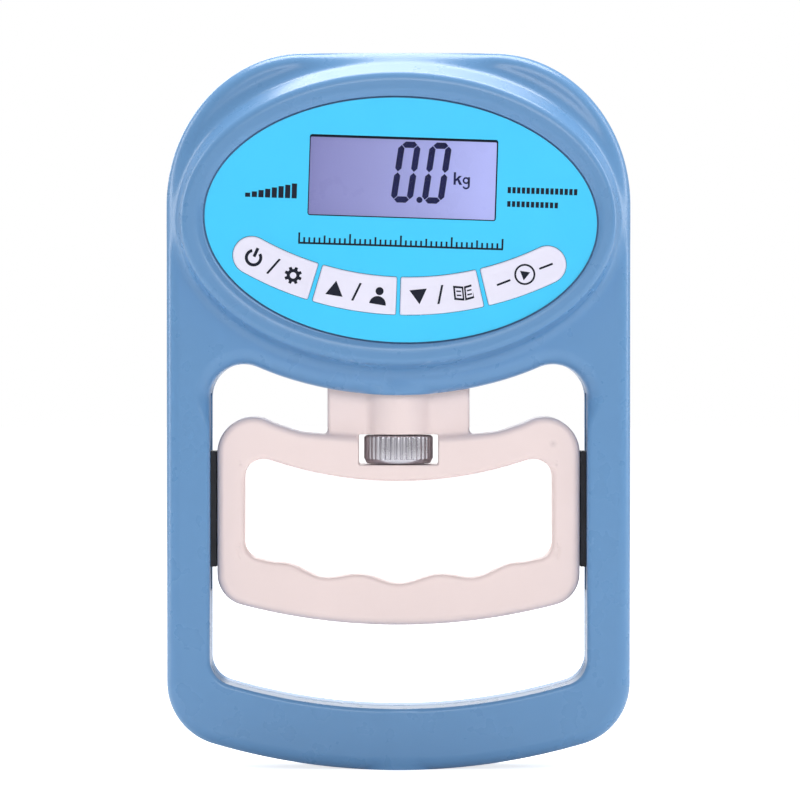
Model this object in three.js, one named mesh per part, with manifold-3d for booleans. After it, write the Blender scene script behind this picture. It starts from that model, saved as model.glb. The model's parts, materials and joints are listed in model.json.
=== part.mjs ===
// Electronic hand dynamometer (grip strength meter), millimetres, +Z up.
// It stands upright on its curved base with its display towards -Y and +X to the reader's right.
// The origin is under the middle of the device, at the height of the base.
import * as THREE from "three";
import { mergeVertices } from "three/addons/utils/BufferGeometryUtils.js";
import Module from "manifold-3d";

const wasm = await Module();
wasm.setup();

// ---------------------------------------------------------------- driving dimensions
const GAP = 0.3; // clearance between neighbouring pieces
const STEP = Math.PI / 16; // longest facet of a round outline, in radians
const FAR = 250; // a place well outside the device, where a cut may start or end
const SCREW_CROWN = 0.7; // a screw head's flat top, as a share of its radius
const SCREW_SHOULDER = 0.55; // height of its straight side, as a share of the head
const OVERLAP = 1; // how far a boss runs into the wall that it grows from

const housing = {
  halfWidth: 61.5, height: 190, frontY: -9, backY: 16, crestY: -16, splitY: 3.5,
  wall: 2.2, edge: 3.5, footHalfWidth: 10, baseRadius: 175, baseCorner: 17,
  crownHalfFlat: 25, crownZ: 150,
};
const opening = {
  halfWidth: 50, floorZ: 16.2, floorRadius: 160, floorCorner: 7,
  roofX: 69, roofZ: 46.5, roofTangentX: 37.4, roofCorner: 9,
};
const bezel = {
  centreZ: 145.9, crestX: 57.2, crestZ: 38.1, baseX: 59.3, rootDepth: 1.2,
  cavityX: 54.5, cavityZ: 35.4, cavityOverlap: 3,
};
const panel = {
  x: 0.6, z: 145.7, turn: THREE.MathUtils.degToRad(1.85), halfX: 51.9, halfZ: 32.4, frontY: -15, thick: 0.8,
};
const seat = { frontY: -13.9, backY: -11.9 };
const display = {
  x: 0.2, z: 11.2, halfX: 24.85, halfZ: 10.7, corner: 0.6,
  lip: 1.2, frameWall: 4.3, lensThick: 1.2, cellThick: 2.6,
};
const board = { frontY: -8, backY: -6.4, halfX: 49, halfZ: 30, bottomZ: -24.2 };
const chip = { leftX: -18, rightX: -4, bottomZ: -4, topZ: 10, thick: 1.6 };
const keySwitchSize = { halfWidth: 3, thick: 1.3, plungerRadius: 1.7, plungerThick: 1.9 };
const keys = { centreZ: 65, inner: 80, outer: 90, frontY: -15.4, backY: -11, capAngle: 27.3, flange: 1.2 };
const handle = {
  halfWidth: 48.2, frontY: -5, backY: 12, edge: 2.5, wall: 2.2,
  bottomZ: 38.2, bottomRadius: 165, bottomCorner: 8.5,
  shoulderX: 38.7, shoulderZ: 84, shoulderRadius: 9.5, shoulderLean: 0.25, roofDrop: 13.3, shoulderEndX: 26,
  shoulderSlope: 6, waistZ: 88,
};
const finger = {
  halfWidth: 41.1, roofZ: 76.5, roofRadius: 106, roofCorner: 5.3,
  gripZ: 50.1, gripRise: 0.0041, groove: 1, grooveWidth: 20.5, grooveFade: 27, gripHalfWidth: 36.6,
  gripCorner: 4.5,
};
const neck = {
  halfWidth: 18.9, frontY: -2, backY: 9, rootZ: 83.5, topZ: 110, bossRadius: 9.65, boreRadius: 6.8, roofZ: 92,
};
const passage = { sideGap: 0.6, bossGap: 0.55, bottomZ: 94, topZ: 105 };
const wheel = { radius: 9.2, bottomZ: 81.1, topZ: 88.6, flutes: 24, fluteDepth: 0.45, chamfer: 0.6 };
const wheelWindow = {
  halfWidth: 10.6, bottomZ: 80.8, topZ: 88.9, wall: 2.9, blockBottomZ: 78.5, blockTopZ: 87.5,
};
const rod = { radius: 4, topZ: 118, chamfer: 1, spigotRadius: 2.5, spigotZ: 78.7 };
const washer = { radius: 7.5, thick: 0.8, seatRadius: 7.8, seatDepth: 1.2 };
const sleeve = { radius: 6, bottomZ: 103, topZ: 132, boreTopZ: 129.5, studRadius: 2.7, studTopZ: 145.6 };
const nut = { cornerRadius: 5.77, thick: 2.8 };
const cell = {
  leftX: -9, rightX: 48, frontY: -2.5, backY: 9.5, bottomZ: 132.3, topZ: 142.3, padX: 29, padZ: 145.7,
  waistLeft: 10.5, waistRight: 22, waistHalfZ: 1.2, waistRadius: 3.6, screwBore: 2.3, boreDepth: 4,
};
const bracket = {
  halfX: 52, frontY: -3, backY: 9.7, bottomZ: 146, topZ: 150, lugX: 44, lugTopZ: 161, lugThick: 3,
};
const rail = {
  innerX: 50.3, outerX: 53.4, halfY: 5, bottomZ: 47.5, topZ: 99.5, grooveX: 52.4, grooveHalfY: 2.8, end: 1,
};
const slider = {
  innerX: 48.5, plateX: 50, tongueX: 52, halfY: 4.6, tongueHalfY: 2.5, bottomZ: 53.6, topZ: 84.4,
  pegZ: [60, 78], pegRadius: 1.4, pegX: 45.7,
};
const bay = {
  halfX: 30.5, bottomZ: 150.5, topZ: 181.4, frontY: 1, floorY: 2.4,
  roomHalfX: 25.5, roomBottomZ: 154.2, roomTopZ: 177.4,
};
const cover = { halfX: 28.4, bottomZ: 152, topZ: 179.6, frontY: 14.3, corner: 3 };
const battery = {
  radius: 5.25, length: 44.5, shoulder: 0.6, nub: 0.8, nubRadius: 1.9,
  y: 8.1, lowerZ: 160, upperZ: 171.6, endX: 24.2,
};
const contact = { nearX: 24.7, farX: 25.2, halfWidth: 4 };
const spring = {
  turns: 3, wideRadius: 3, narrowing: 1, rootX: 24.55, length: 3.5, wireRadius: 0.32, steps: 27,
};
const shellScrews = [[-44, 172], [44, 172], [-55.7, 108], [55.7, 108], [-40, 13], [40, 13]];
const handleScrews = [[-40, 87.5], [40, 87.5], [-41, 49.5], [41, 49.5]];
const boardScrews = [[-34, 18], [34, 18], [-43.5, -0.5], [43.5, -0.5]];
const cellScrewX = [34.3, 42.3];
const bracketScrew = { x: 48, z: 155 };
const shellPost = { frontRadius: 3.2, rearRadius: 4.2, bore: 1.5, boreEndY: -4.6, headBore: 3, headY: 9 };
const handlePost = { frontRadius: 2.8, rearRadius: 3.3, bore: 1.4, boreEndY: -2.9, headBore: 2.6, headY: 8 };
const boardPost = { radius: 2.6, bore: 1.3, boreEndY: -11 };
const bracketPost = { radius: 3.6, bore: 1.8, boreEndY: 14.5 };
const switchAngles = [-21.3, -7.5, 7.5, 21.3].map(THREE.MathUtils.degToRad);
const AXIS_Y = housing.splitY; // the rod, wheel and cell lie on the parting plane

// ---------------------------------------------------------------- solids
function solid(geometry) {
  const bare = geometry.index ? geometry.toNonIndexed() : geometry.clone();
  bare.deleteAttribute("normal");
  bare.deleteAttribute("uv");
  const merged = mergeVertices(bare, 1e-4);
  const vertProperties = merged.attributes.position.array;
  const triVerts = new Uint32Array(merged.index.array);
  return new wasm.Manifold(new wasm.Mesh({ numProp: 3, vertProperties, triVerts }));
}

function geometryOf(manifold) {
  const mesh = manifold.getMesh();
  const geometry = new THREE.BufferGeometry();
  geometry.setAttribute("position", new THREE.BufferAttribute(new Float32Array(mesh.vertProperties), 3));
  geometry.setIndex(new THREE.BufferAttribute(new Uint32Array(mesh.triVerts), 1));
  geometry.computeVertexNormals();
  return geometry;
}

// A plate in the XZ plane between two Y faces. `edge` rounds its rims and `grow` offsets the outline.
function plateGeometry(shape, frontY, backY, { edge = 0, grow = 0 } = {}) {
  const geometry = new THREE.ExtrudeGeometry(shape, {
    depth: backY - frontY - 2 * edge,
    bevelEnabled: edge > 0 || grow !== 0,
    bevelThickness: edge,
    bevelSize: edge,
    bevelOffset: grow - edge,
    bevelSegments: edge > 0 ? 2 : 0,
  });
  geometry.rotateX(Math.PI / 2);
  geometry.translate(0, backY - edge, 0);
  return geometry;
}

const plate = (shape, frontY, backY, options) => solid(plateGeometry(shape, frontY, backY, options));

function boxGeometry(x0, x1, y0, y1, z0, z1) {
  const geometry = new THREE.BoxGeometry(x1 - x0, y1 - y0, z1 - z0);
  geometry.translate((x0 + x1) / 2, (y0 + y1) / 2, (z0 + z1) / 2);
  return geometry;
}

const box = (...limits) => solid(boxGeometry(...limits));

// A turned piece on an axis parallel to X, Y or Z; the profile holds [radius, place along the axis].
function turned(profile, axis, [u, v], segments = 20) {
  const geometry = new THREE.LatheGeometry(profile.map(([r, h]) => new THREE.Vector2(r, h)), segments);
  if (axis === "z") {
    geometry.rotateX(Math.PI / 2);
    geometry.scale(1, -1, 1);
    flip(geometry);
    geometry.translate(u, v, 0);
  } else if (axis === "x") {
    geometry.rotateZ(-Math.PI / 2);
    geometry.translate(0, u, v);
  } else {
    geometry.translate(u, 0, v);
  }
  return geometry;
}

// Turns every triangle over, after a mirroring.
function flip(geometry) {
  const index = geometry.index.array;
  for (let i = 0; i < index.length; i += 3) {
    [index[i], index[i + 1]] = [index[i + 1], index[i]];
  }
}

function rodGeometry(radius, from, to, axis, place, segments = 20) {
  return turned([[0, from], [radius, from], [radius, to], [0, to]], axis, place, segments);
}

const pin = (...args) => solid(rodGeometry(...args));

function tubeAlong(points, radius, steps, sides = 8) {
  const section = new THREE.Shape(ringPoints(0, 0, radius, radius, 0, 2 * Math.PI, sides).slice(0, sides));
  const extrudePath = new THREE.CatmullRomCurve3(points.map((p) => new THREE.Vector3(...p)));
  return new THREE.ExtrudeGeometry(section, { steps, extrudePath, bevelEnabled: false });
}

// ---------------------------------------------------------------- outlines, as points [x, z]
function ringPoints(x, z, radiusX, radiusZ, from, to, count) {
  const points = [];
  for (let i = 0; i <= count; i += 1) {
    const angle = from + ((to - from) * i) / count;
    points.push(new THREE.Vector2(x + radiusX * Math.cos(angle), z + radiusZ * Math.sin(angle)));
  }
  return points;
}

function arc(x, z, radius, from, to, step = STEP) {
  return ringPoints(x, z, radius, radius, from, to, Math.max(1, Math.ceil(Math.abs(to - from) / step)));
}

// Closes a right-hand half outline, which runs from bottom to top, with its mirror image.
function mirrored(half) {
  const left = half.filter((p) => p.x > 1e-6).map((p) => new THREE.Vector2(-p.x, p.y));
  return [...half, ...left.reverse()];
}

// An arc that hangs down to `lowZ` in the middle, blended by a corner into a vertical side.
function hangingArc(lowZ, radius, corner, halfWidth, startX, lift = 0) {
  const centreZ = lowZ + radius - lift;
  const cornerX = halfWidth - corner;
  const tilt = Math.asin(cornerX / (radius - corner));
  const cornerZ = centreZ - (radius - corner) * Math.cos(tilt);
  const start = Math.asin(startX / radius);
  const low = arc(0, centreZ, radius, start - Math.PI / 2, tilt - Math.PI / 2, STEP / 3);
  return [...low, ...arc(cornerX, cornerZ, corner, tilt - Math.PI / 2, 0).slice(1)];
}

function ellipseShape(halfX, halfZ, x = 0, z = 0, count = 40) {
  return new THREE.Shape(ringPoints(x, z, halfX, halfZ, 0, 2 * Math.PI, count).slice(0, count));
}

function roundedRect(x0, x1, z0, z1, radius) {
  const quarter = Math.PI / 2;
  return new THREE.Shape([
    ...arc(x1 - radius, z0 + radius, radius, -quarter, 0, quarter / 3),
    ...arc(x1 - radius, z1 - radius, radius, 0, quarter, quarter / 3),
    ...arc(x0 + radius, z1 - radius, radius, quarter, 2 * quarter, quarter / 3),
    ...arc(x0 + radius, z0 + radius, radius, 2 * quarter, 3 * quarter, quarter / 3),
  ]);
}

function housingOutline() {
  const { footHalfWidth, baseRadius, baseCorner, halfWidth, crownHalfFlat, crownZ, height } = housing;
  const footLift = baseRadius - Math.sqrt(baseRadius ** 2 - footHalfWidth ** 2);
  const crownX = halfWidth - crownHalfFlat;
  return mirrored([
    ...hangingArc(0, baseRadius, baseCorner, halfWidth, footHalfWidth, footLift),
    ...ringPoints(crownHalfFlat, crownZ, crownX, height - crownZ, 0, Math.PI / 2, 8),
  ]);
}

// Height of the head's lower edge, an ellipse about the bezel's centre.
function headEdge(x) {
  return bezel.centreZ - opening.roofZ * Math.sqrt(1 - (x / opening.roofX) ** 2);
}

function headEdgeSlope(x) {
  return (opening.roofZ * x) / (opening.roofX ** 2 * Math.sqrt(1 - (x / opening.roofX) ** 2));
}

function samples(from, to, step, height) {
  const count = Math.round(Math.abs(to - from) / step);
  const points = [];
  for (let i = 0; i <= count; i += 1) {
    const x = from + ((to - from) * i) / count;
    points.push(new THREE.Vector2(x, height(x)));
  }
  return points;
}

function openingOutline() {
  const { halfWidth, floorZ, floorRadius, floorCorner, roofTangentX, roofCorner } = opening;
  const tilt = Math.atan(headEdgeSlope(roofTangentX));
  const cornerX = halfWidth - roofCorner;
  const cornerZ = headEdge(roofTangentX) - roofCorner * Math.cos(tilt);
  return mirrored([
    ...hangingArc(floorZ, floorRadius, floorCorner, halfWidth, 0),
    ...arc(cornerX, cornerZ, roofCorner, 0, Math.PI / 2 + tilt),
    ...samples(roofTangentX, 0, 6.2, headEdge).slice(1),
  ]);
}

function handleOutline() {
  const { halfWidth, bottomZ, bottomRadius, bottomCorner, shoulderX, shoulderZ, shoulderRadius } = handle;
  const { roofDrop, shoulderEndX, shoulderSlope, shoulderLean, waistZ } = handle;
  const slopeEndZ = headEdge(shoulderEndX) - roofDrop;
  const waist = (x) => waistZ + (slopeEndZ - waistZ) * (x / shoulderEndX) ** 2;
  return mirrored([
    ...hangingArc(bottomZ, bottomRadius, bottomCorner, halfWidth, 0),
    ...arc(shoulderX, shoulderZ, shoulderRadius, 0, Math.PI / 2 + shoulderLean),
    ...samples(shoulderEndX + shoulderSlope, shoulderEndX, 3, (x) => headEdge(x) - roofDrop),
    ...samples(shoulderEndX - shoulderSlope, 0, 5, waist),
  ]);
}

// The grip's grooves: a shallow arch with a wave that fades out towards the ends.
function gripHeight(x) {
  const fade = THREE.MathUtils.smoothstep(Math.abs(x), finger.grooveFade, finger.gripHalfWidth);
  const wave = finger.groove * Math.cos((2 * Math.PI * x) / finger.grooveWidth);
  return finger.gripZ + finger.gripRise * x * x - (1 - fade) * wave;
}

function fingerOutline() {
  const { halfWidth, roofZ, roofRadius, roofCorner, gripHalfWidth, gripCorner } = finger;
  const cornerX = halfWidth - roofCorner;
  const lean = Math.asin(cornerX / (roofRadius + roofCorner));
  const roofCentreZ = roofZ + roofRadius;
  const cornerZ = roofCentreZ - (roofRadius + roofCorner) * Math.cos(lean);
  const gripCornerZ = gripHeight(gripHalfWidth) + gripCorner;
  const roof = arc(0, roofCentreZ, roofRadius, lean - Math.PI / 2, -Math.PI / 2, STEP / 2);
  return mirrored([
    ...samples(0, gripHalfWidth, finger.grooveWidth / 8, gripHeight),
    ...arc(gripHalfWidth, gripCornerZ, gripCorner, -Math.PI / 2, 0, Math.PI / 8).slice(1),
    ...arc(cornerX, cornerZ, roofCorner, 0, Math.PI / 2 + lean, Math.PI / 8),
    ...roof.slice(1),
  ]);
}

function holed(outline, hole) {
  const shape = new THREE.Shape(outline);
  shape.holes.push(new THREE.Path(hole));
  return shape;
}

// A key: part of a ring about a centre above the panel, in the panel's own frame.
function keyShape(from, to, inner, outer, roundEnd) {
  const at = (radius, angle) =>
    new THREE.Vector2(radius * Math.sin(angle), keys.centreZ - radius * Math.cos(angle));
  const steps = 5;
  const points = [];
  for (let i = 0; i <= steps; i += 1) {
    points.push(at(outer, from + ((to - from) * i) / steps));
  }
  if (roundEnd) {
    const middle = at((inner + outer) / 2, to);
    const radius = (outer - inner) / 2;
    const end = arc(middle.x, middle.y, radius, to - Math.PI / 2, to + Math.PI / 2, Math.PI / 6);
    points.push(...end.slice(1, -1));
  }
  for (let i = steps; i >= 0; i -= 1) {
    points.push(at(inner, from + ((to - from) * i) / steps));
  }
  return points;
}

const mirrorX = (points) => points.map((p) => new THREE.Vector2(-p.x, p.y)).reverse();

// ---------------------------------------------------------------- the panel's own frame
const panelPlace = new THREE.Matrix4()
  .makeTranslation(panel.x, 0, panel.z)
  .multiply(new THREE.Matrix4().makeRotationY(panel.turn));

const inPanel = (geometry) => solid(geometry.applyMatrix4(panelPlace));

const KEY_INNER = THREE.MathUtils.degToRad(0.35);
const KEY_MIDDLE = THREE.MathUtils.degToRad(14.6);
const KEY_NEXT = THREE.MathUtils.degToRad(15.4);
const KEY_OUTER = THREE.MathUtils.degToRad(keys.capAngle);
const FLANGE_INSET = THREE.MathUtils.degToRad(1);

const keyParts = [
  { name: "key_power", left: true, from: KEY_NEXT, to: KEY_OUTER, roundEnd: true },
  { name: "key_up", left: true, from: KEY_INNER, to: KEY_MIDDLE, roundEnd: false },
  { name: "key_down", left: false, from: KEY_INNER, to: KEY_MIDDLE, roundEnd: false },
  { name: "key_start", left: false, from: KEY_NEXT, to: KEY_OUTER, roundEnd: true },
];

function keyOutline({ left, from, to, roundEnd }) {
  const points = keyShape(from, to, keys.inner, keys.outer, roundEnd);
  return new THREE.Shape(left ? mirrorX(points) : points);
}

// Ears behind the housing's floor that keep the key captive.
function keyFlange({ left, from, to }) {
  const inner = keys.inner - keys.flange;
  const outer = keys.outer + keys.flange;
  const points = keyShape(from + FLANGE_INSET, to - FLANGE_INSET, inner, outer, false);
  return new THREE.Shape(left ? mirrorX(points) : points);
}

function displayRect(grow) {
  const { x, z, halfX, halfZ, corner } = display;
  return roundedRect(x - halfX - grow, x + halfX + grow, z - halfZ - grow, z + halfZ + grow, corner);
}

// ---------------------------------------------------------------- housing shells
const housingShape = () => holed(housingOutline(), openingOutline());

function housingHollow() {
  const { frontY, backY, wall } = housing;
  return plate(housingShape(), frontY + wall, backY - wall, { grow: -wall });
}

// Raised elliptical bezel, as a cone that stands on the housing's front face.
function bezelSolid() {
  const base = bezel.baseX / bezel.crestX;
  const root = housing.frontY + bezel.rootDepth;
  const profile = [[0, housing.crestY], [1, housing.crestY], [base, housing.frontY], [base, root], [0, root]];
  const geometry = turned(profile, "y", [0, 0], 40);
  geometry.scale(bezel.crestX, 1, bezel.crestZ);
  geometry.translate(0, 0, bezel.centreZ);
  return solid(geometry);
}

// The way through the head's lower wall for the handle's neck, and the slots for the guide rails.
function neckPassage() {
  const { halfWidth, frontY, backY } = neck;
  const { sideGap, bossGap, bottomZ, topZ } = passage;
  const across = halfWidth + sideGap;
  const slot = box(-across, across, frontY - sideGap, backY + sideGap, bottomZ, topZ);
  return slot.add(pin(neck.bossRadius + bossGap, bottomZ, topZ, "z", [0, AXIS_Y], 28));
}

function railSlots() {
  const limits = [AXIS_Y - rail.halfY - GAP, AXIS_Y + rail.halfY + GAP, rail.bottomZ - GAP, rail.topZ + GAP];
  const inner = rail.innerX - 1;
  const outer = rail.outerX + GAP;
  return box(-outer, -inner, ...limits).add(box(inner, outer, ...limits));
}

function frontShell() {
  const { frontY, splitY } = housing;
  const back = splitY - GAP / 2;
  const behindSeat = seat.backY + OVERLAP;
  let shell = plate(housingShape(), frontY, housing.backY, { edge: housing.edge });
  shell = shell.subtract(box(-FAR, FAR, back, FAR, -FAR, FAR)).add(bezelSolid());
  shell = shell.subtract(housingHollow());
  const cavity = ellipseShape(bezel.cavityX, bezel.cavityZ, 0, bezel.centreZ);
  shell = shell.subtract(plate(cavity, seat.backY, frontY + bezel.cavityOverlap));
  for (const [x, z] of shellScrews) {
    shell = shell.add(pin(shellPost.frontRadius, frontY + OVERLAP, back, "y", [x, z], 12));
    shell = shell.subtract(pin(shellPost.bore, shellPost.boreEndY, back + OVERLAP, "y", [x, z], 8));
  }
  for (const [x, z] of boardScrews) {
    const post = rodGeometry(boardPost.radius, seat.backY - OVERLAP, board.frontY - GAP, "y", [x, z], 10);
    const bore = rodGeometry(boardPost.bore, boardPost.boreEndY, board.frontY, "y", [x, z], 8);
    shell = shell.add(inPanel(post)).subtract(inPanel(bore));
  }
  const recess = ellipseShape(panel.halfX + GAP, panel.halfZ + GAP);
  shell = shell.subtract(inPanel(plateGeometry(recess, housing.crestY - OVERLAP, seat.frontY)));
  shell = shell.subtract(inPanel(plateGeometry(displayRect(display.lip + GAP), -FAR, behindSeat)));
  for (const key of keyParts) {
    shell = shell.subtract(inPanel(plateGeometry(keyOutline(key), -FAR, behindSeat, { grow: GAP })));
  }
  return shell.subtract(neckPassage()).subtract(railSlots());
}

function rearShell() {
  const { frontY, backY, splitY } = housing;
  const { rearRadius, bore, headBore, headY } = shellPost;
  const front = splitY + GAP / 2;
  let shell = plate(housingShape(), frontY, backY, { edge: housing.edge });
  shell = shell.subtract(box(-FAR, FAR, -FAR, front, -FAR, FAR)).subtract(housingHollow());
  shell = shell.add(box(-bay.halfX, bay.halfX, bay.frontY, backY - OVERLAP, bay.bottomZ, bay.topZ));
  shell = shell.subtract(batteryRoom());
  for (const [x, z] of shellScrews) {
    shell = shell.add(pin(rearRadius, front, backY - OVERLAP, "y", [x, z], 14));
    shell = shell.subtract(pin(bore, front - OVERLAP, headY + OVERLAP, "y", [x, z], 8));
    shell = shell.subtract(pin(headBore, headY, backY + OVERLAP, "y", [x, z], 14));
  }
  for (const x of [-bracketScrew.x, bracketScrew.x]) {
    const place = [x, bracketScrew.z];
    shell = shell.add(pin(bracketPost.radius, bracket.backY + GAP, backY - OVERLAP, "y", place, 12));
    shell = shell.subtract(pin(bracketPost.bore, bracket.backY, bracketPost.boreEndY, "y", place, 8));
  }
  return shell.subtract(neckPassage()).subtract(railSlots());
}

function batteryRoom() {
  const { roomHalfX, roomBottomZ, roomTopZ, floorY } = bay;
  const behind = housing.backY + OVERLAP;
  const room = box(-roomHalfX, roomHalfX, floorY, behind, roomBottomZ, roomTopZ);
  return room.add(plate(coverShape(GAP), cover.frontY - GAP, behind));
}

const coverShape = (grow) =>
  roundedRect(-cover.halfX - grow, cover.halfX + grow, cover.bottomZ - grow, cover.topZ + grow, cover.corner);

// ---------------------------------------------------------------- handle
function handleBlank() {
  const { frontY, backY, edge, wall } = handle;
  const ring = () => holed(handleOutline(), fingerOutline());
  let blank = plate(ring(), frontY, backY, { edge });
  blank = blank.subtract(plate(ring(), frontY + wall, backY - wall, { grow: -wall }));
  const { halfWidth, wall: windowWall, bottomZ, topZ, blockBottomZ, blockTopZ } = wheelWindow;
  const axis = [0, AXIS_Y];
  const block = halfWidth + windowWall;
  blank = blank.add(box(-block, block, frontY + OVERLAP, backY - OVERLAP, blockBottomZ, blockTopZ));
  blank = blank.add(box(-neck.halfWidth, neck.halfWidth, neck.frontY, neck.backY, neck.rootZ, neck.topZ));
  blank = blank.add(pin(neck.bossRadius, topZ, neck.topZ, "z", axis, 28));
  blank = blank.subtract(box(-halfWidth, halfWidth, -FAR, FAR, bottomZ, topZ));
  blank = blank.subtract(pin(neck.boreRadius, neck.roofZ, neck.topZ + OVERLAP, "z", axis, 20));
  blank = blank.subtract(pin(rod.radius + GAP, topZ - OVERLAP, neck.roofZ + OVERLAP, "z", axis, 16));
  blank = blank.subtract(pin(washer.seatRadius, topZ - OVERLAP, topZ + washer.seatDepth, "z", axis, 20));
  blank = blank.subtract(pin(rod.spigotRadius + GAP, rod.spigotZ - GAP, bottomZ + OVERLAP, "z", axis, 12));
  const hole = slider.pegRadius + GAP;
  for (const z of slider.pegZ) {
    blank = blank.subtract(pin(hole, slider.pegX - GAP, FAR, "x", [AXIS_Y, z], 10));
    blank = blank.subtract(pin(hole, -FAR, GAP - slider.pegX, "x", [AXIS_Y, z], 10));
  }
  return blank;
}

function handleFront() {
  const { frontRadius, bore, boreEndY } = handlePost;
  const back = AXIS_Y - GAP / 2;
  let half = handleBlank().subtract(box(-FAR, FAR, back, FAR, -FAR, FAR));
  for (const [x, z] of handleScrews) {
    half = half.add(pin(frontRadius, handle.frontY + OVERLAP, back, "y", [x, z], 10));
    half = half.subtract(pin(bore, boreEndY, back + OVERLAP, "y", [x, z], 8));
  }
  return half;
}

function handleRear() {
  const { rearRadius, bore, headBore, headY } = handlePost;
  const front = AXIS_Y + GAP / 2;
  let half = handleBlank().subtract(box(-FAR, FAR, -FAR, front, -FAR, FAR));
  for (const [x, z] of handleScrews) {
    half = half.add(pin(rearRadius, front, handle.backY - OVERLAP, "y", [x, z], 12));
    half = half.subtract(pin(bore, front - OVERLAP, headY + OVERLAP, "y", [x, z], 8));
    half = half.subtract(pin(headBore, headY, handle.backY + OVERLAP, "y", [x, z], 12));
  }
  return half;
}

function sliderBlock(side) {
  const { innerX, plateX, tongueX, halfY, tongueHalfY, bottomZ, topZ, pegZ, pegRadius, pegX } = slider;
  const across = (x0, x1) => (side > 0 ? [x0, x1] : [-x1, -x0]);
  const tongueY = [AXIS_Y - tongueHalfY, AXIS_Y + tongueHalfY];
  let block = box(...across(innerX, plateX), AXIS_Y - halfY, AXIS_Y + halfY, bottomZ, topZ);
  block = block.add(box(...across(innerX, tongueX), ...tongueY, bottomZ, topZ));
  for (const z of pegZ) {
    block = block.add(pin(pegRadius, ...across(pegX, plateX), "x", [AXIS_Y, z], 10));
  }
  return block;
}

function guideRail(side) {
  const { innerX, outerX, halfY, bottomZ, topZ, grooveX, grooveHalfY, end } = rail;
  const across = (x0, x1) => (side > 0 ? [x0, x1] : [-x1, -x0]);
  const body = box(...across(innerX, outerX), AXIS_Y - halfY, AXIS_Y + halfY, bottomZ, topZ);
  const groove = across(innerX - OVERLAP, grooveX);
  return body.subtract(box(...groove, AXIS_Y - grooveHalfY, AXIS_Y + grooveHalfY, bottomZ + end, topZ - end));
}

// ---------------------------------------------------------------- adjusting screw
function adjustingWheel() {
  const { radius, bottomZ, topZ, flutes, fluteDepth, chamfer } = wheel;
  const points = [];
  for (let i = 0; i < 2 * flutes; i += 1) {
    const reach = radius - (i % 2) * fluteDepth;
    const angle = (Math.PI * i) / flutes;
    points.push(new THREE.Vector2(reach * Math.cos(angle), reach * Math.sin(angle)));
  }
  const depth = topZ - bottomZ - 2 * chamfer;
  const rim = { depth, bevelThickness: chamfer, bevelSize: chamfer, bevelOffset: -chamfer, bevelSegments: 1 };
  const geometry = new THREE.ExtrudeGeometry(new THREE.Shape(points), rim);
  geometry.translate(0, AXIS_Y, bottomZ + chamfer);
  const bore = pin(rod.radius + GAP, bottomZ - OVERLAP, topZ + OVERLAP, "z", [0, AXIS_Y], 16);
  return solid(geometry).subtract(bore);
}

function threadedRod() {
  const { radius, topZ, spigotRadius, spigotZ, chamfer } = rod;
  const footZ = wheel.bottomZ;
  const foot = [[0, spigotZ], [spigotRadius, spigotZ], [spigotRadius, footZ], [radius, footZ]];
  const tip = [[radius, topZ - chamfer], [radius - chamfer, topZ], [0, topZ]];
  return turned([...foot, ...tip], "z", [0, AXIS_Y], 16);
}

function thrustWasher() {
  const { radius, thick } = washer;
  const low = wheelWindow.topZ;
  const high = low + thick;
  const bore = rod.radius + GAP;
  const section = [[bore, low], [radius, low], [radius, high], [bore, high], [bore, low]];
  return turned(section, "z", [0, AXIS_Y], 20);
}

function threadedSleeve() {
  const { radius, bottomZ, topZ, boreTopZ, studRadius, studTopZ } = sleeve;
  const bore = rod.radius + GAP;
  const inside = [[0, boreTopZ], [bore, boreTopZ], [bore, bottomZ], [radius, bottomZ]];
  const outside = [[radius, topZ], [studRadius, topZ], [studRadius, studTopZ], [0, studTopZ]];
  return turned([...inside, ...outside], "z", [0, AXIS_Y], 20);
}

function sleeveNut() {
  const low = cell.topZ + GAP;
  const high = low + nut.thick;
  const bore = pin(sleeve.studRadius + GAP, low - OVERLAP, high + OVERLAP, "z", [0, AXIS_Y], 14);
  return pin(nut.cornerRadius, low, high, "z", [0, AXIS_Y], 6).subtract(bore);
}

// ---------------------------------------------------------------- load cell and its bracket
function loadCell() {
  const { leftX, rightX, frontY, backY, bottomZ, topZ, padX, padZ } = cell;
  const { waistLeft, waistRight, waistHalfZ, waistRadius, screwBore, boreDepth } = cell;
  const middleZ = (bottomZ + topZ) / 2;
  const pad = box(padX, rightX, frontY, backY, topZ - OVERLAP, padZ);
  let beam = box(leftX, rightX, frontY, backY, bottomZ, topZ).add(pad);
  beam = beam.subtract(box(waistLeft, waistRight, -FAR, FAR, middleZ - waistHalfZ, middleZ + waistHalfZ));
  for (const x of [waistLeft, waistRight]) {
    beam = beam.subtract(pin(waistRadius, -FAR, FAR, "y", [x, middleZ], 16));
  }
  beam = beam.subtract(pin(sleeve.studRadius + GAP, bottomZ - OVERLAP, topZ + OVERLAP, "z", [0, AXIS_Y], 14));
  for (const x of cellScrewX) {
    beam = beam.subtract(pin(screwBore, bottomZ + boreDepth, padZ + OVERLAP, "z", [x, AXIS_Y], 12));
  }
  return beam;
}

function loadBracket() {
  const { halfX, frontY, backY, bottomZ, topZ, lugX, lugTopZ, lugThick } = bracket;
  let body = box(-halfX, halfX, frontY, backY, bottomZ, topZ);
  for (const side of [-1, 1]) {
    const [x0, x1] = side > 0 ? [lugX, halfX] : [-halfX, -lugX];
    body = body.add(box(x0, x1, backY - lugThick, backY, topZ - OVERLAP, lugTopZ));
    const place = [side * bracketScrew.x, bracketScrew.z];
    body = body.subtract(pin(bracketPost.bore, frontY, backY + OVERLAP, "y", place, 10));
  }
  for (const x of cellScrewX) {
    body = body.subtract(pin(cell.screwBore, bottomZ - OVERLAP, topZ + OVERLAP, "z", [x, AXIS_Y], 12));
  }
  return body;
}

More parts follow.
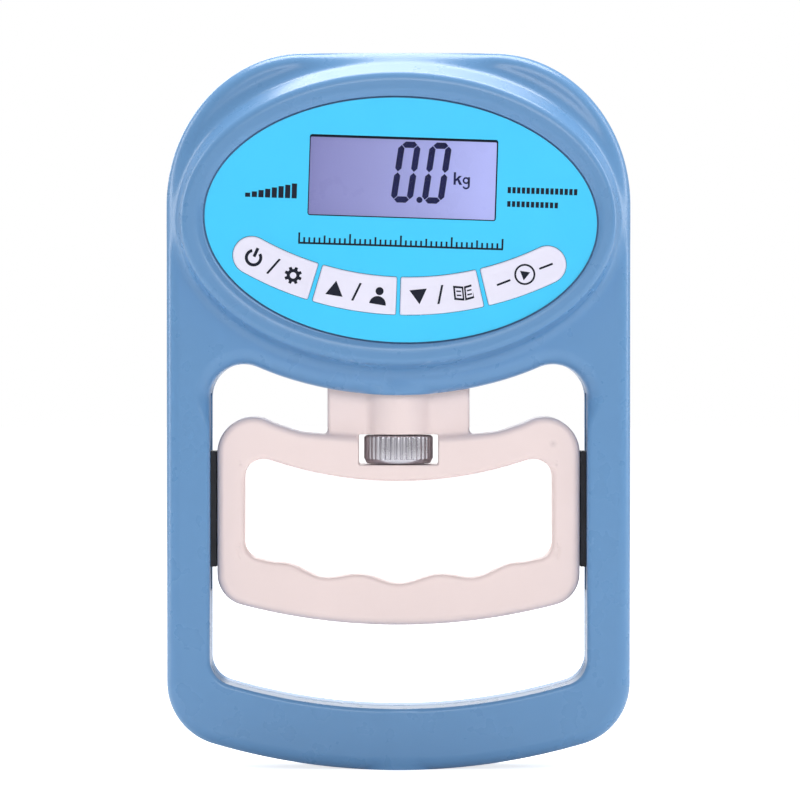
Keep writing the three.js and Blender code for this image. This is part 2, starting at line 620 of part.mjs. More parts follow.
// A pan-head screw whose head lies between `seatAt` and `seatAt + head`.
// A negative head height turns it round.
function screwGeometry({ headRadius, head, shankRadius, seatAt, tip, axis, place }) {
  const top = seatAt + head;
  const shoulder = seatAt + head * SCREW_SHOULDER;
  const profile = [[0, top], [headRadius * SCREW_CROWN, top], [headRadius, shoulder], [headRadius, seatAt]];
  profile.push([shankRadius, seatAt], [shankRadius, tip + Math.sign(head)], [0, tip]);
  const ordered = head > 0 ? profile.reverse() : profile;
  return turned(ordered, axis, place, 8);
}

// ---------------------------------------------------------------- electronics, in the panel's frame
function panelOverlay() {
  let sheet = plate(ellipseShape(panel.halfX, panel.halfZ), panel.frontY, panel.frontY + panel.thick);
  sheet = sheet.subtract(plate(displayRect(0), -FAR, FAR));
  for (const key of keyParts) {
    sheet = sheet.subtract(plate(keyOutline(key), -FAR, FAR, { grow: GAP }));
  }
  return sheet;
}

function keySolid(key) {
  const cap = plate(keyOutline(key), keys.frontY, keys.backY);
  return cap.add(plate(keyFlange(key), seat.backY + GAP, keys.backY));
}

function mainBoard() {
  let body = plate(ellipseShape(board.halfX, board.halfZ), board.frontY, board.backY);
  body = body.subtract(box(-FAR, FAR, -FAR, FAR, -FAR, board.bottomZ));
  for (const [x, z] of boardScrews) {
    body = body.subtract(pin(boardPost.bore, -FAR, FAR, "y", [x, z], 10));
  }
  return body;
}

function lcdFrame() {
  const ring = plate(displayRect(display.frameWall), seat.backY + GAP, board.frontY - GAP);
  return ring.subtract(plate(displayRect(display.lip + GAP), -FAR, FAR));
}

function keySwitch(angle) {
  const { halfWidth, thick, plungerRadius, plungerThick } = keySwitchSize;
  const radius = (keys.inner + keys.outer) / 2;
  const x = radius * Math.sin(angle);
  const z = keys.centreZ - radius * Math.cos(angle);
  const back = board.frontY - GAP;
  const body = box(x - halfWidth, x + halfWidth, back - thick, back, z - halfWidth, z + halfWidth);
  return body.add(pin(plungerRadius, back - plungerThick, back - thick / 2, "y", [x, z], 12));
}

function microcontroller() {
  const { leftX, rightX, bottomZ, topZ, thick } = chip;
  const front = board.backY + GAP;
  return box(leftX, rightX, front, front + thick, bottomZ, topZ);
}

// ---------------------------------------------------------------- power
function batteryGeometry(side, z) {
  const { radius, length, shoulder, nub, nubRadius, y, endX } = battery;
  const from = endX - length;
  const to = endX - nub;
  const can = [[0, from], [radius - shoulder, from], [radius, from + shoulder], [radius, to - shoulder]];
  const terminal = [[radius - shoulder, to], [nubRadius, to], [nubRadius, endX], [0, endX]];
  const geometry = turned([...can, ...terminal], "x", [0, 0], 20);
  if (side < 0) {
    geometry.rotateZ(Math.PI);
  }
  return geometry.translate(0, y, z);
}

// A conical contact spring that stands on a plate and tapers towards the cell.
function contactSpring(side, z) {
  const { turns, wideRadius, narrowing, rootX, length, wireRadius, steps } = spring;
  class Coil extends THREE.Curve {
    getPoint(t, target = new THREE.Vector3()) {
      const angle = 2 * Math.PI * turns * t;
      const radius = wideRadius - narrowing * t;
      const x = side * (rootX - length * t);
      return target.set(x, battery.y + radius * Math.cos(angle), z + radius * Math.sin(angle));
    }
  }
  const section = ellipseShape(wireRadius, wireRadius, 0, 0, 5);
  return solid(new THREE.ExtrudeGeometry(section, { steps, extrudePath: new Coil(), bevelEnabled: false }));
}

function contactPlate(side, lowZ, highZ) {
  const { nearX, farX, halfWidth } = contact;
  const limits = side > 0 ? [nearX, farX] : [-farX, -nearX];
  return box(...limits, battery.y - halfWidth, battery.y + halfWidth, lowZ - halfWidth, highZ + halfWidth);
}

const contactBridge = () =>
  contactPlate(1, battery.lowerZ, battery.upperZ).add(contactSpring(1, battery.lowerZ));
const contactNegative = () =>
  contactPlate(-1, battery.upperZ, battery.upperZ).add(contactSpring(-1, battery.upperZ));
const contactPositive = () => contactPlate(-1, battery.lowerZ, battery.lowerZ);

function batteryCover() {
  return plate(coverShape(0), cover.frontY, housing.backY);
}

// ---------------------------------------------------------------- assembly
const finishes = {
  blue: { color: 0x74a0ca, roughness: 0.45, metalness: 0 },
  cyan: { color: 0x49d2fd, roughness: 0.35, metalness: 0 },
  key: { color: 0xe2e0f0, roughness: 0.5, metalness: 0 },
  clear: { color: 0xdfe8f2, roughness: 0.1, metalness: 0 },
  lcd: { color: 0x9ba0cf, roughness: 0.25, metalness: 0 },
  white: { color: 0xefdcdd, roughness: 0.5, metalness: 0 },
  black: { color: 0x1a1b22, roughness: 0.55, metalness: 0 },
  steel: { color: 0xa4a1a7, roughness: 0.35, metalness: 1 },
  alloy: { color: 0xb9bcc2, roughness: 0.45, metalness: 1 },
  board: { color: 0x2f6b45, roughness: 0.6, metalness: 0 },
  wrap: { color: 0x3f4a55, roughness: 0.35, metalness: 0 },
  spring: { color: 0xc9c4b4, roughness: 0.3, metalness: 1 },
  red: { color: 0xb03a2e, roughness: 0.5, metalness: 0 },
};

function addMesh(group, name, shape, finish) {
  const geometry = shape.isBufferGeometry ? shape : geometryOf(shape);
  const mesh = new THREE.Mesh(geometry, new THREE.MeshStandardMaterial(finishes[finish]));
  mesh.name = name;
  group.add(mesh);
}

const dynamometer = new THREE.Group();

addMesh(dynamometer, "front_shell", frontShell(), "blue");
addMesh(dynamometer, "rear_shell", rearShell(), "blue");
addMesh(dynamometer, "battery_cover", batteryCover(), "blue");
shellScrews.forEach((place, i) => {
  const size = { headRadius: 2.7, head: 2.2, shankRadius: 1.2, seatAt: 9.3, tip: -4.2, axis: "y", place };
  addMesh(dynamometer, `shell_screw_${i + 1}`, screwGeometry(size), "steel");
});

const face = new THREE.Group();
face.position.set(panel.x, 0, panel.z);
face.rotation.y = panel.turn;
dynamometer.add(face);
addMesh(face, "panel_overlay", panelOverlay(), "cyan");
const lensBack = seat.frontY + display.lensThick;
const cellBack = lensBack + GAP + display.cellThick;
addMesh(face, "display_lens", plate(displayRect(display.lip), seat.frontY, lensBack), "clear");
addMesh(face, "lcd_module", plate(displayRect(display.lip), lensBack + GAP, cellBack), "lcd");
addMesh(face, "lcd_backlight", plate(displayRect(display.lip), cellBack + GAP, board.frontY - GAP), "clear");
addMesh(face, "lcd_frame", lcdFrame(), "black");
addMesh(face, "main_board", mainBoard(), "board");
addMesh(face, "microcontroller", microcontroller(), "black");
keyParts.forEach((key) => addMesh(face, key.name, keySolid(key), "key"));
switchAngles.forEach((angle, i) => addMesh(face, `key_switch_${i + 1}`, keySwitch(angle), "black"));
boardScrews.forEach((place, i) => {
  const seatAt = board.backY + GAP;
  const size = { headRadius: 2.2, head: 1.5, shankRadius: 1, seatAt, tip: -10.6, axis: "y", place };
  addMesh(face, `board_screw_${i + 1}`, screwGeometry(size), "steel");
});

const forceTrain = new THREE.Group();
dynamometer.add(forceTrain);
addMesh(forceTrain, "load_cell", loadCell(), "alloy");
addMesh(forceTrain, "load_bracket", loadBracket(), "steel");
addMesh(forceTrain, "threaded_sleeve", threadedSleeve(), "steel");
addMesh(forceTrain, "sleeve_nut", sleeveNut(), "steel");
cellScrewX.forEach((x, i) => {
  const seatAt = bracket.topZ + GAP;
  const place = [x, AXIS_Y];
  const size = { headRadius: 3.4, head: 3, shankRadius: 2, seatAt, tip: cell.bottomZ + 5, axis: "z", place };
  addMesh(forceTrain, `cell_screw_${i + 1}`, screwGeometry(size), "steel");
});
["left", "right"].forEach((side, i) => {
  const place = [(2 * i - 1) * bracketScrew.x, bracketScrew.z];
  const seatAt = bracket.backY - bracket.lugThick - GAP;
  const size = { headRadius: 3, head: -2.8, shankRadius: 1.5, seatAt, tip: 13.8, axis: "y", place };
  addMesh(forceTrain, `bracket_screw_${side}`, screwGeometry(size), "steel");
});
const cellCablePath = [
  [14, -3.9, 137.3], [20, -3.9, 137.8], [26, -4.3, 140], [29, -5.1, 145], [30, -5.2, 152],
];
addMesh(forceTrain, "cell_cable", tubeAlong(cellCablePath, 0.8, 12, 6), "black");

const grip = new THREE.Group();
dynamometer.add(grip);
addMesh(grip, "handle_front", handleFront(), "white");
addMesh(grip, "handle_rear", handleRear(), "white");
addMesh(grip, "slider_left", sliderBlock(-1), "black");
addMesh(grip, "slider_right", sliderBlock(1), "black");
handleScrews.forEach((place, i) => {
  const size = { headRadius: 2.3, head: 1.8, shankRadius: 1.1, seatAt: 8.3, tip: -2.6, axis: "y", place };
  addMesh(grip, `handle_screw_${i + 1}`, screwGeometry(size), "steel");
});
addMesh(grip, "thrust_washer", thrustWasher(), "steel");
addMesh(grip, "adjusting_wheel", adjustingWheel(), "steel");
addMesh(grip, "threaded_rod", threadedRod(), "steel");
addMesh(dynamometer, "guide_rail_left", guideRail(-1), "blue");
addMesh(dynamometer, "guide_rail_right", guideRail(1), "blue");

addMesh(dynamometer, "battery_lower", batteryGeometry(-1, battery.lowerZ), "wrap");
addMesh(dynamometer, "battery_upper", batteryGeometry(1, battery.upperZ), "wrap");
addMesh(dynamometer, "contact_bridge", contactBridge(), "spring");
addMesh(dynamometer, "contact_negative", contactNegative(), "spring");
addMesh(dynamometer, "contact_positive", contactPositive(), "spring");
const wirePath = (z) => [[-20, -0.2, z], [-24, -1.4, z - 3], [-27, -3.4, z - 6], [-28, -5.2, z - 11]];
addMesh(dynamometer, "wire_positive", tubeAlong(wirePath(battery.lowerZ), 0.7, 8, 6), "red");
addMesh(dynamometer, "wire_negative", tubeAlong(wirePath(battery.upperZ), 0.7, 8, 6), "black");

export default dynamometer;
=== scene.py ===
import json
import math

import bpy
import numpy as np
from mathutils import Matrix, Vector, kdtree
from mathutils.geometry import delaunay_2d_cdt


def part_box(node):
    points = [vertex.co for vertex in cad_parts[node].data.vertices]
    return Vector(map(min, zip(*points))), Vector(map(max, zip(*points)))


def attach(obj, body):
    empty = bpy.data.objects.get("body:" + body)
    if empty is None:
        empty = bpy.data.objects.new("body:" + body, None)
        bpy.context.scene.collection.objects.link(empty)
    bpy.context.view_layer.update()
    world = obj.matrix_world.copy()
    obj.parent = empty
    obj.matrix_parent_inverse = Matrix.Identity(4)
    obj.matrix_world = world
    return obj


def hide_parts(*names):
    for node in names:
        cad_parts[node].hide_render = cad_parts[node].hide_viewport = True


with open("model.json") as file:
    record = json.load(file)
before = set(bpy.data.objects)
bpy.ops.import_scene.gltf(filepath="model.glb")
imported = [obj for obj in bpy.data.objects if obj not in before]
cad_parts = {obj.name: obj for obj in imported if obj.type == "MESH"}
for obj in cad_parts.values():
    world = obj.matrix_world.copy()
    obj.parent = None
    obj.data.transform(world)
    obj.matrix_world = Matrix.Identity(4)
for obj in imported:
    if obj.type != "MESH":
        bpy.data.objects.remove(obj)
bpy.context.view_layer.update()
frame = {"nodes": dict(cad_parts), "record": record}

# The looks of a hand dynamometer. Lengths are in millimetres until a mesh is made, with +X to the
# right, the display towards -Y and +Z up. A shell is a slab over an outline in the XZ plane. "Proud" is
# the distance from Y = 0 towards the side that the shell faces.

MM = 0.001
FRONT, REAR = -1, 1
TAU = 2 * math.pi


def limits(*nodes):
    """Lowest and highest corner of some CAD nodes."""
    boxes = [np.array(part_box(node)) / MM for node in nodes]
    return np.min([b[0] for b in boxes], axis=0), np.max([b[1] for b in boxes], axis=0)


housing_low, housing_high = limits("front_shell", "rear_shell")
HALF_WIDTH, BACK, HEIGHT = housing_high
CREST = -housing_low[1]
SPLIT_FRONT = limits("front_shell")[1][1]
AXIS_Y = np.mean(limits("adjusting_wheel"), axis=0)[1]
SPLIT_REAR = 2 * AXIS_Y - SPLIT_FRONT
SPLIT = {FRONT: -SPLIT_FRONT, REAR: SPLIT_REAR}  # proud value of each half's meeting face
HANDLE_HALF_WIDTH = limits("handle_front", "handle_rear")[1][0]

SKIN = 0.02  # kept inside the CAD box, so that no rounding error crosses it
STEP_RUN = 0.04  # width of an upright step in a height field
HALF_STEP = STEP_RUN / 2

# ---------------------------------------------------------------- outlines in the XZ plane


def arc(x, z, radius, start, end, step=0.8):
    angle = np.linspace(start, end, max(2, math.ceil(abs(end - start) * radius / step)) + 1)
    return np.stack([x + radius * np.cos(angle), z + radius * np.sin(angle)], axis=1)


def graph(height, start, end, step=0.8):
    x = np.linspace(start, end, max(1, math.ceil(abs(end - start) / step)) + 1)
    return np.stack([x, height(x)], axis=1)


def ellipse(x, z, half_x, half_z, offset=0.0, turn=0.0, count=400):
    """A turned ellipse, moved outwards by an offset that may be a function of the angle."""
    angle = np.arange(count) * TAU / count
    points = np.stack([half_x * np.cos(angle), half_z * np.sin(angle)], axis=1)
    normal = np.stack([np.cos(angle) / half_x, np.sin(angle) / half_z], axis=1)
    normal /= np.linalg.norm(normal, axis=1, keepdims=True)
    reach = offset(angle) if callable(offset) else np.full(count, offset)
    return turned_points(points + normal * reach[:, None], x, z, turn)


def turned_points(points, x, z, turn):
    """From a frame that is turned clockwise seen from the front, to the object's frame."""
    u, v = points[:, 0], points[:, 1]
    cos, sin = math.cos(turn), math.sin(turn)
    return np.stack([x + u * cos + v * sin, z - u * sin + v * cos], axis=1)


def mirrored(*runs):
    """Closes a right-hand half outline, which runs from bottom to top, with its mirror image."""
    right = np.concatenate(runs)
    return np.concatenate([right, right[::-1] * [-1, 1]])


def rectangle(x0, x1, z0, z1, corner=0.0, step=0.8):
    quarter = math.pi / 2
    if corner == 0:
        return np.array([[x1, z0], [x1, z1], [x0, z1], [x0, z0]], float)
    return np.concatenate([
        arc(x1 - corner, z0 + corner, corner, -quarter, 0, step),
        arc(x1 - corner, z1 - corner, corner, 0, quarter, step),
        arc(x0 + corner, z1 - corner, corner, quarter, 2 * quarter, step),
        arc(x0 + corner, z0 + corner, corner, 2 * quarter, 3 * quarter, step),
    ])


def refined(points, step):
    """The same closed line without doubled points and with no piece longer than step."""
    points = points[np.linalg.norm(points - np.roll(points, 1, axis=0), axis=1) > 1e-3]
    pieces = []
    for start, end in zip(points, np.roll(points, -1, axis=0)):
        count = max(1, math.ceil(np.linalg.norm(end - start) / step))
        share = np.arange(count)[:, None] / count
        pieces.append(start + (end - start) * share)
    return np.concatenate(pieces)


def inside(loop, q):
    result = np.zeros(len(q), bool)
    x, z = q.T
    for (x0, z0), (x1, z1) in zip(loop, np.roll(loop, -1, axis=0)):
        crosses = (z0 > z) != (z1 > z)
        result[crosses] ^= x[crosses] < (x1 - x0) * (z[crosses] - z0) / (z1 - z0) + x0
    return result


def between(loops, q):
    """Whether each point is inside the first loop and outside the others."""
    keep = inside(loops[0], q)
    for hole in loops[1:]:
        keep &= ~inside(hole, q)
    return keep


def unit(vectors):
    return vectors / np.maximum(np.linalg.norm(vectors, axis=-1, keepdims=True), 1e-12)


def tree_of(points):
    """A search tree whose find((x, z, 0)) gives the nearest point, its index and its distance."""
    tree = kdtree.KDTree(len(points))
    for index, (x, z) in enumerate(points):
        tree.insert((x, z, 0), index)
    tree.balance()
    return tree


class Outline:
    """A closed anticlockwise line with its normals and its signed distance, which is negative inside."""

    def __init__(self, points, step=0.8, smooth=0):
        self.points = refined(points, step)
        for _ in range(smooth):
            self.points = (np.roll(self.points, 1, 0) + 2 * self.points + np.roll(self.points, -1, 0)) / 4
        along = np.roll(self.points, -1, axis=0) - np.roll(self.points, 1, axis=0)
        self.normals = unit(np.stack([along[:, 1], -along[:, 0]], axis=1))
        self.tree = tree_of(self.points)

    def ring(self, offset):
        reach = np.broadcast_to(offset, (len(self.points),))
        return self.points + self.normals * reach[:, None]

    def measure(self, q):
        """Signed distance of each point, and its gradient."""
        nearest = np.fromiter((self.tree.find((x, z, 0))[1] for x, z in q), int, len(q))
        best = np.full(len(q), np.inf)
        value = np.zeros(len(q))
        gradient = np.zeros((len(q), 2))
        count = len(self.points)
        for a, b in ((nearest - 1) % count, nearest), (nearest, (nearest + 1) % count):
            start = self.points[a]
            along = self.points[b] - start
            share = np.clip(np.sum((q - start) * along, 1) / np.sum(along * along, 1), 0, 1)[:, None]
            away = q - start - share * along
            normal = unit(self.normals[a] * (1 - share) + self.normals[b] * share)
            distance = np.linalg.norm(away, axis=1)
            better = distance < best
            best[better] = distance[better]
            value[better] = np.copysign(distance, np.sum(away * normal, 1))[better]
            gradient[better] = normal[better]
        return value, gradient


# ---------------------------------------------------------------- distances that are formulas


def circle_distance(q, x, z, radius):
    return np.hypot(q[:, 0] - x, q[:, 1] - z) - radius


def rectangle_distance(q, x0, x1, z0, z1, corner=0.0):
    dx = np.abs(q[:, 0] - (x0 + x1) / 2) - (x1 - x0) / 2 + corner
    dz = np.abs(q[:, 1] - (z0 + z1) / 2) - (z1 - z0) / 2 + corner
    return np.hypot(np.maximum(dx, 0), np.maximum(dz, 0)) + np.minimum(np.maximum(dx, dz), 0) - corner


def ellipse_distance(q, x, z, half_x, half_z, turn=0.0):
    cos, sin = math.cos(turn), math.sin(turn)
    dx, dz = q[:, 0] - x, q[:, 1] - z
    u, v = dx * cos - dz * sin, dx * sin + dz * cos
    level = np.maximum(np.hypot(u / half_x, v / half_z), 1e-6)
    slope = np.hypot(u / half_x**2, v / half_z**2) / level
    return (level - 1) / np.maximum(slope, 1e-6)


def smoothstep(value, low, high):
    share = np.clip((value - low) / (high - low), 0, 1)
    return share * share * (3 - 2 * share)


def round_max(a, b, radius):
    """Where two solids overlap, with their shared edge rounded."""
    inner = np.minimum(-radius, np.maximum(a, b))
    return inner + np.hypot(np.maximum(a + radius, 0), np.maximum(b + radius, 0))


def round_min(a, b, radius):
    """Two solids joined, with a fillet between them."""
    return -round_max(-a, -b, radius)


class Field:
    """The outer face of a slab, as the highest proud value at which `value` is still inside."""

    def __init__(self, value, outlines, formulas, low, high):
        self.value, self.outlines, self.formulas = value, outlines, formulas
        self.low, self.high = low, high

    def solve(self, q):
        """Proud value and unit normal (x, proud, z) at each point."""
        here = {"x": q[:, 0], "z": q[:, 1], **self.formulas(q)}
        slopes = {}
        nudge = 0.01
        for axis in (0, 1):
            moved = np.zeros(2)
            moved[axis] = nudge
            ahead = {"x": q[:, 0] + moved[0], "z": q[:, 1] + moved[1], **self.formulas(q + moved)}
            behind = {"x": q[:, 0] - moved[0], "z": q[:, 1] - moved[1], **self.formulas(q - moved)}
            slopes[axis] = {key: (ahead[key] - behind[key]) / (2 * nudge) for key in ahead}
        for key, outline in self.outlines.items():
            here[key], gradient = outline.measure(q)
            slopes[0][key], slopes[1][key] = gradient.T
        low = np.full(len(q), float(self.low))
        high = np.full(len(q), float(self.high))
        for _ in range(26):
            middle = (low + high) / 2
            within = self.value(here, middle) < 0.01
            low = np.where(within, middle, low)
            high = np.where(within, high, middle)
        normal = np.zeros((len(q), 3))
        normal[:, 1] = self.value(here, low + nudge) - self.value(here, low - nudge)
        for axis in (0, 1):
            ahead = {key: here[key] + nudge * slopes[axis][key] for key in here}
            behind = {key: here[key] - nudge * slopes[axis][key] for key in here}
            normal[:, 2 * axis] = self.value(ahead, low) - self.value(behind, low)
        normal[:, 1] = np.maximum(normal[:, 1], 1e-4)
        return low, unit(normal)


# ---------------------------------------------------------------- meshes


def enclosed_volume(vertices, faces):
    triangles = np.array([[face[0], b, c] for face in faces for b, c in zip(face[1:], face[2:])])
    a, b, c = vertices[triangles[:, 0]], vertices[triangles[:, 1]], vertices[triangles[:, 2]]
    return np.sum(a * np.cross(b, c)) / 6


def make_piece(name, vertices, faces, normals, material, body, replaces=()):
    """A mesh object of the visual model. `normals` holds one for each face corner, or is None."""
    vertices = np.asarray(vertices, float)
    if normals is None and enclosed_volume(vertices, faces) < 0:
        faces = [face[::-1] for face in faces]
    mesh = bpy.data.meshes.new(name)
    mesh.from_pydata((vertices * MM).tolist(), [], faces)
    mesh.polygons.foreach_set("use_smooth", [True] * len(mesh.polygons))
    if normals is not None:
        mesh.normals_split_custom_set(normals)
    mesh.materials.append(material)
    piece = bpy.data.objects.new(name, mesh)
    bpy.context.scene.collection.objects.link(piece)
    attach(piece, body)
    if replaces:
        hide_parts(*replaces)
    return piece


def triangulate(loops, rings=(), points=(), lines=()):
    """Triangles inside the first loop and outside the others, with each ring and open line kept."""
    coordinates = []
    edges = []
    for line in [*loops, *rings]:
        start = len(coordinates)
        coordinates.extend(line.tolist())
        edges.extend((start + i, start + (i + 1) % len(line)) for i in range(len(line)))
    for line in lines:
        start = len(coordinates)
        coordinates.extend(line.tolist())
        edges.extend((start + i, start + i + 1) for i in range(len(line) - 1))
    coordinates.extend(np.asarray(points).reshape(-1, 2).tolist())
    flat, _, triangles, _, _, _ = delaunay_2d_cdt([Vector(c) for c in coordinates], edges, [], 0, 1e-4)
    flat = np.array(flat, float)
    triangles = np.array(triangles)
    return flat, triangles[between(loops, flat[triangles].mean(axis=1))]


def border(triangles):
    """Edges that only one triangle has, in that triangle's direction, as {from: to}."""
    edges = np.concatenate([triangles[:, [0, 1]], triangles[:, [1, 2]], triangles[:, [2, 0]]])
    seen = set(map(tuple, edges.tolist()))
    return {a: b for a, b in seen if (b, a) not in seen}


def border_loops(flat, triangles):
    following = border(triangles)
    loops = []
    while following:
        start, current = following.popitem()
        walk = [start]
        while current != start:
            walk.append(current)
            current = following.pop(current)
        loops.append(flat[walk])
    span = [np.ptp(loop, axis=0).sum() for loop in loops]
    loops.insert(0, loops.pop(int(np.argmax(span))))
    return loops


def scattered(loops, spacing, avoid):
    """A staggered grid inside the first loop, clear of the other loops and of given lines."""
    low, high = loops[0].min(axis=0), loops[0].max(axis=0)
    rows = []
    for index, z in enumerate(np.arange(low[1], high[1], spacing * 0.87)):
        x = np.arange(low[0] + spacing * (index % 2) / 2, high[0], spacing)
        rows.append(np.stack([x, np.full(len(x), z)], axis=1))
    grid = np.concatenate(rows)
    grid = grid[between(loops, grid)]
    tree = tree_of(np.concatenate([*loops, *avoid]))
    clear = [tree.find((x, z, 0))[2] > 0.6 * spacing for x, z in grid]
    return grid[clear]


def corner_normals(points, faces, smooth):
    """Smooth normals at the corners, apart from where a face stands too steeply against them."""
    corners = points[faces]
    flat = unit(np.cross(corners[:, 1] - corners[:, 0], corners[:, 2] - corners[:, 0]))[:, None, :]
    given = smooth[faces]
    agrees = np.sum(given * flat, axis=2, keepdims=True) > math.cos(math.radians(40))
    return np.where(agrees, given, flat)


def slab(name, side, loops, outer, inner, material, body, replaces=(),
         rings=(), inner_rings=(), spacing=None, place=None, lines=()):
    """A closed shell between two height fields over the same outline.

    `outer` is a Field or a function of the points that gives proud values; `inner` is such a function."""
    back_flat, back_faces = triangulate(loops, inner_rings)
    edges = border_loops(back_flat, back_faces)
    points = scattered(edges, spacing, [*rings, *lines]) if spacing else ()
    front_flat, front_faces = triangulate(edges, rings, points, lines)
    if isinstance(outer, Field):
        proud, smooth = outer.solve(front_flat)
    else:
        proud = outer(front_flat)
        smooth = np.tile([0.0, 1.0, 0.0], (len(front_flat), 1))
    count = len(front_flat)
    flat = np.concatenate([front_flat, back_flat])
    proud = np.concatenate([proud, inner(back_flat)])
    vertices = np.stack([flat[:, 0], side * proud, flat[:, 1]], axis=1)
    smooth[:, 1] *= side
    if place:
        vertices[:, [0, 2]] = turned_points(vertices[:, [0, 2]], *place)
        smooth[:, [0, 2]] = turned_points(smooth[:, [0, 2]], 0, 0, place[2])

    tree = tree_of(back_flat)
    following = border(front_faces)
    partner = {}
    for a in following:
        _, index, distance = tree.find((*front_flat[a], 0))
        assert distance < 1e-3, f"{name}: the two faces have different borders"
        partner[a] = count + index

    def edge_normal(a, b):
        x, _, z = vertices[b] - vertices[a]
        return unit(np.array([z, 0.0, -x]))

    before = {b: a for a, b in following.items()}
    sides = []
    side_normals = []
    for a, b in following.items():
        own = edge_normal(a, b)
        at_a = unit(own + edge_normal(before[a], a))
        at_b = unit(own + edge_normal(b, following[b]))
        at_a, at_b = (n if np.dot(n, own) > 0.87 else own for n in (at_a, at_b))
        quad = [b, a, partner[a], partner[b]]
        quad_normals = [at_b, at_a, at_a, at_b]
        if side == REAR:
            quad.reverse()
            quad_normals.reverse()
        sides.append(quad)
        side_normals.extend(quad_normals)
    back_faces = back_faces + count
    if side == REAR:
        front_faces = front_faces[:, ::-1]
    else:
        back_faces = back_faces[:, ::-1]
    front_normals = corner_normals(vertices, front_faces, smooth).reshape(-1, 3)
    back_normals = corner_normals(vertices, back_faces, np.zeros_like(vertices)).reshape(-1, 3)
    faces = front_faces.tolist() + back_faces.tolist() + sides
    normals = np.concatenate([front_normals, back_normals, np.array(side_normals)])
    return make_piece(name, vertices, faces, normals, material, body, replaces)


# ---------------------------------------------------------------- driving dimensions

WALL = 2.2
EDGE = 3.8  # radius round the housing
REAR_LIP = 1.8  # radius round the opening's rear edge
GROOVE = 0.3  # depth and breadth of the line where the shells meet
FACE = -9.0 * FRONT  # proud value of the housing's front face
HEAD_Z = 145.9  # height of the bezel's centre
SKIRT_X, SKIRT_Z = 69, 46.5  # the head's lower edge, as part of an ellipse
HEAD_ROOM = (0, HEAD_Z, 54.5, 35.4)  # hollow behind the panel's seat
CREST_X, CREST_Z = 57.2, 38.1
RIM_X, RIM_Z = 53.6, 34.1
SEAT_X, SEAT_Z = 52.2, 32.7
SEAT, SEAT_BACK = 13.9, 11.9
PANEL = (0.6, 145.7, math.radians(1.85))
PANEL_X, PANEL_Z = 51.7, 32.2
DISPLAY = (-24.65, 25.05, 0.5, 21.9)  # window in the panel's own frame
KEY_CENTRE, KEY_INNER, KEY_OUTER = 65.0, 80.0, 90.0
DISH = 0.16  # how far a key's face is sunk
SHELL_SCREWS = [(-44, 172), (44, 172), (-55.7, 108), (55.7, 108), (-40, 13), (40, 13)]
HANDLE_SCREWS = [(-40, 87.5), (40, 87.5), (-41, 49.5), (41, 49.5)]
SHELL_BORE, SHELL_HEAD_BORE, SHELL_POST = 1.5, 3.0, {FRONT: 3.2, REAR: 4.2}
HANDLE_BORE, HANDLE_HEAD_BORE, HANDLE_POST = 1.4, 2.6, 2.8
SHELL_HOLE_END, HANDLE_HOLE_END = 4.6, 2.9  # proud values inside the front halves
NECK, NECK_TOP = 18.9, 110.0
BOSS = 9.65  # radius round the screw, on the neck
NECK_ROOM = 0.6  # play round the neck
NECK_WAY = (-NECK - NECK_ROOM, NECK + NECK_ROOM, 94, 105)
RAIL_SLOTS = [(-53.7, -49.4, 47.2, 99.8), (49.4, 53.7, 47.2, 99.8)]
RAIL_FACE = {FRONT: 1.8, REAR: 8.8}  # proud values to which the slots reach
SPINDLE_BORES = ((6.8, 92, 111), (4.3, 88, 92), (2.8, 78.4, 81))  # radius and ends of the screw's bores
CORE = (-13.5, 13.5, 70, 100)  # where the handle stays solid round the wheel and rod
WINDOW = (-10.6, 10.6, 80.8, 88.9)
HANDLE_FACE, NECK_FACE = {FRONT: 5.0, REAR: 12.0}, {FRONT: 2.0, REAR: 9.0}
GRIP_EDGE, FINGER_EDGE = 2.2, 1.2
GRIP_BEVEL, GRIP_BEVEL_SLOPE = 2.6, 0.55  # the grooved bar's upper edge
DOOR = (-28.4, 28.4, 152.0, 179.6)
DOOR_CORNER = 3.0
DOORWAY = np.add(DOOR, (-0.3, 0.3, -0.3, 0.3))
BAY = (-30.5, 30.5, 150.5, 181.4)
ROOM = (-25.5, 25.5, 154.2, 177.4)
DOOR_SEAT, DOOR_BACK, SCREW_SEAT, BAY_FLOOR, BAY_BACK = 14.0, 14.3, 9.0, 2.4, 1.0  # proud values
HANDLE_SEAT = 8.0  # proud value under the handle's screw heads
SCOOP = (0, 180.5, 9, 4.6)
PRINT, PRINT_SINK = 0.05, 0.02  # a print's thickness, and how far it sinks into what it is printed on
LEGEND_SIZE = 1.36


def hanging_arc(low_z, radius, corner, half_width, start_x, lift=0.0):
    """An arc that hangs down to low_z in the middle, blended by a corner into an upright side."""
    centre_z = low_z + radius - lift
    corner_x = half_width - corner
    tilt = math.asin(corner_x / (radius - corner))
    corner_z = centre_z - (radius - corner) * math.cos(tilt)
    start = math.asin(start_x / radius)
    quarter = math.pi / 2
    low = arc(0, centre_z, radius, start - quarter, tilt - quarter)
    return np.concatenate([low, arc(corner_x, corner_z, corner, tilt - quarter, 0)])


def head_edge(x):
    """Height of the head's lower edge."""
    return HEAD_Z - SKIRT_Z * np.sqrt(1 - (x / SKIRT_X) ** 2)


def housing_outline():
    foot, radius, crown_flat, crown_z = 10, 175, 25, 150
    angle = np.linspace(0, math.pi / 2, 64)
    crown_x, crown_rise = HALF_WIDTH - crown_flat, HEIGHT - crown_z
    crown = np.stack([crown_flat + crown_x * np.cos(angle), crown_z + crown_rise * np.sin(angle)], axis=1)
    lift = radius - math.sqrt(radius**2 - foot**2)
    return mirrored(hanging_arc(0, radius, 17, HALF_WIDTH, foot, lift), crown)


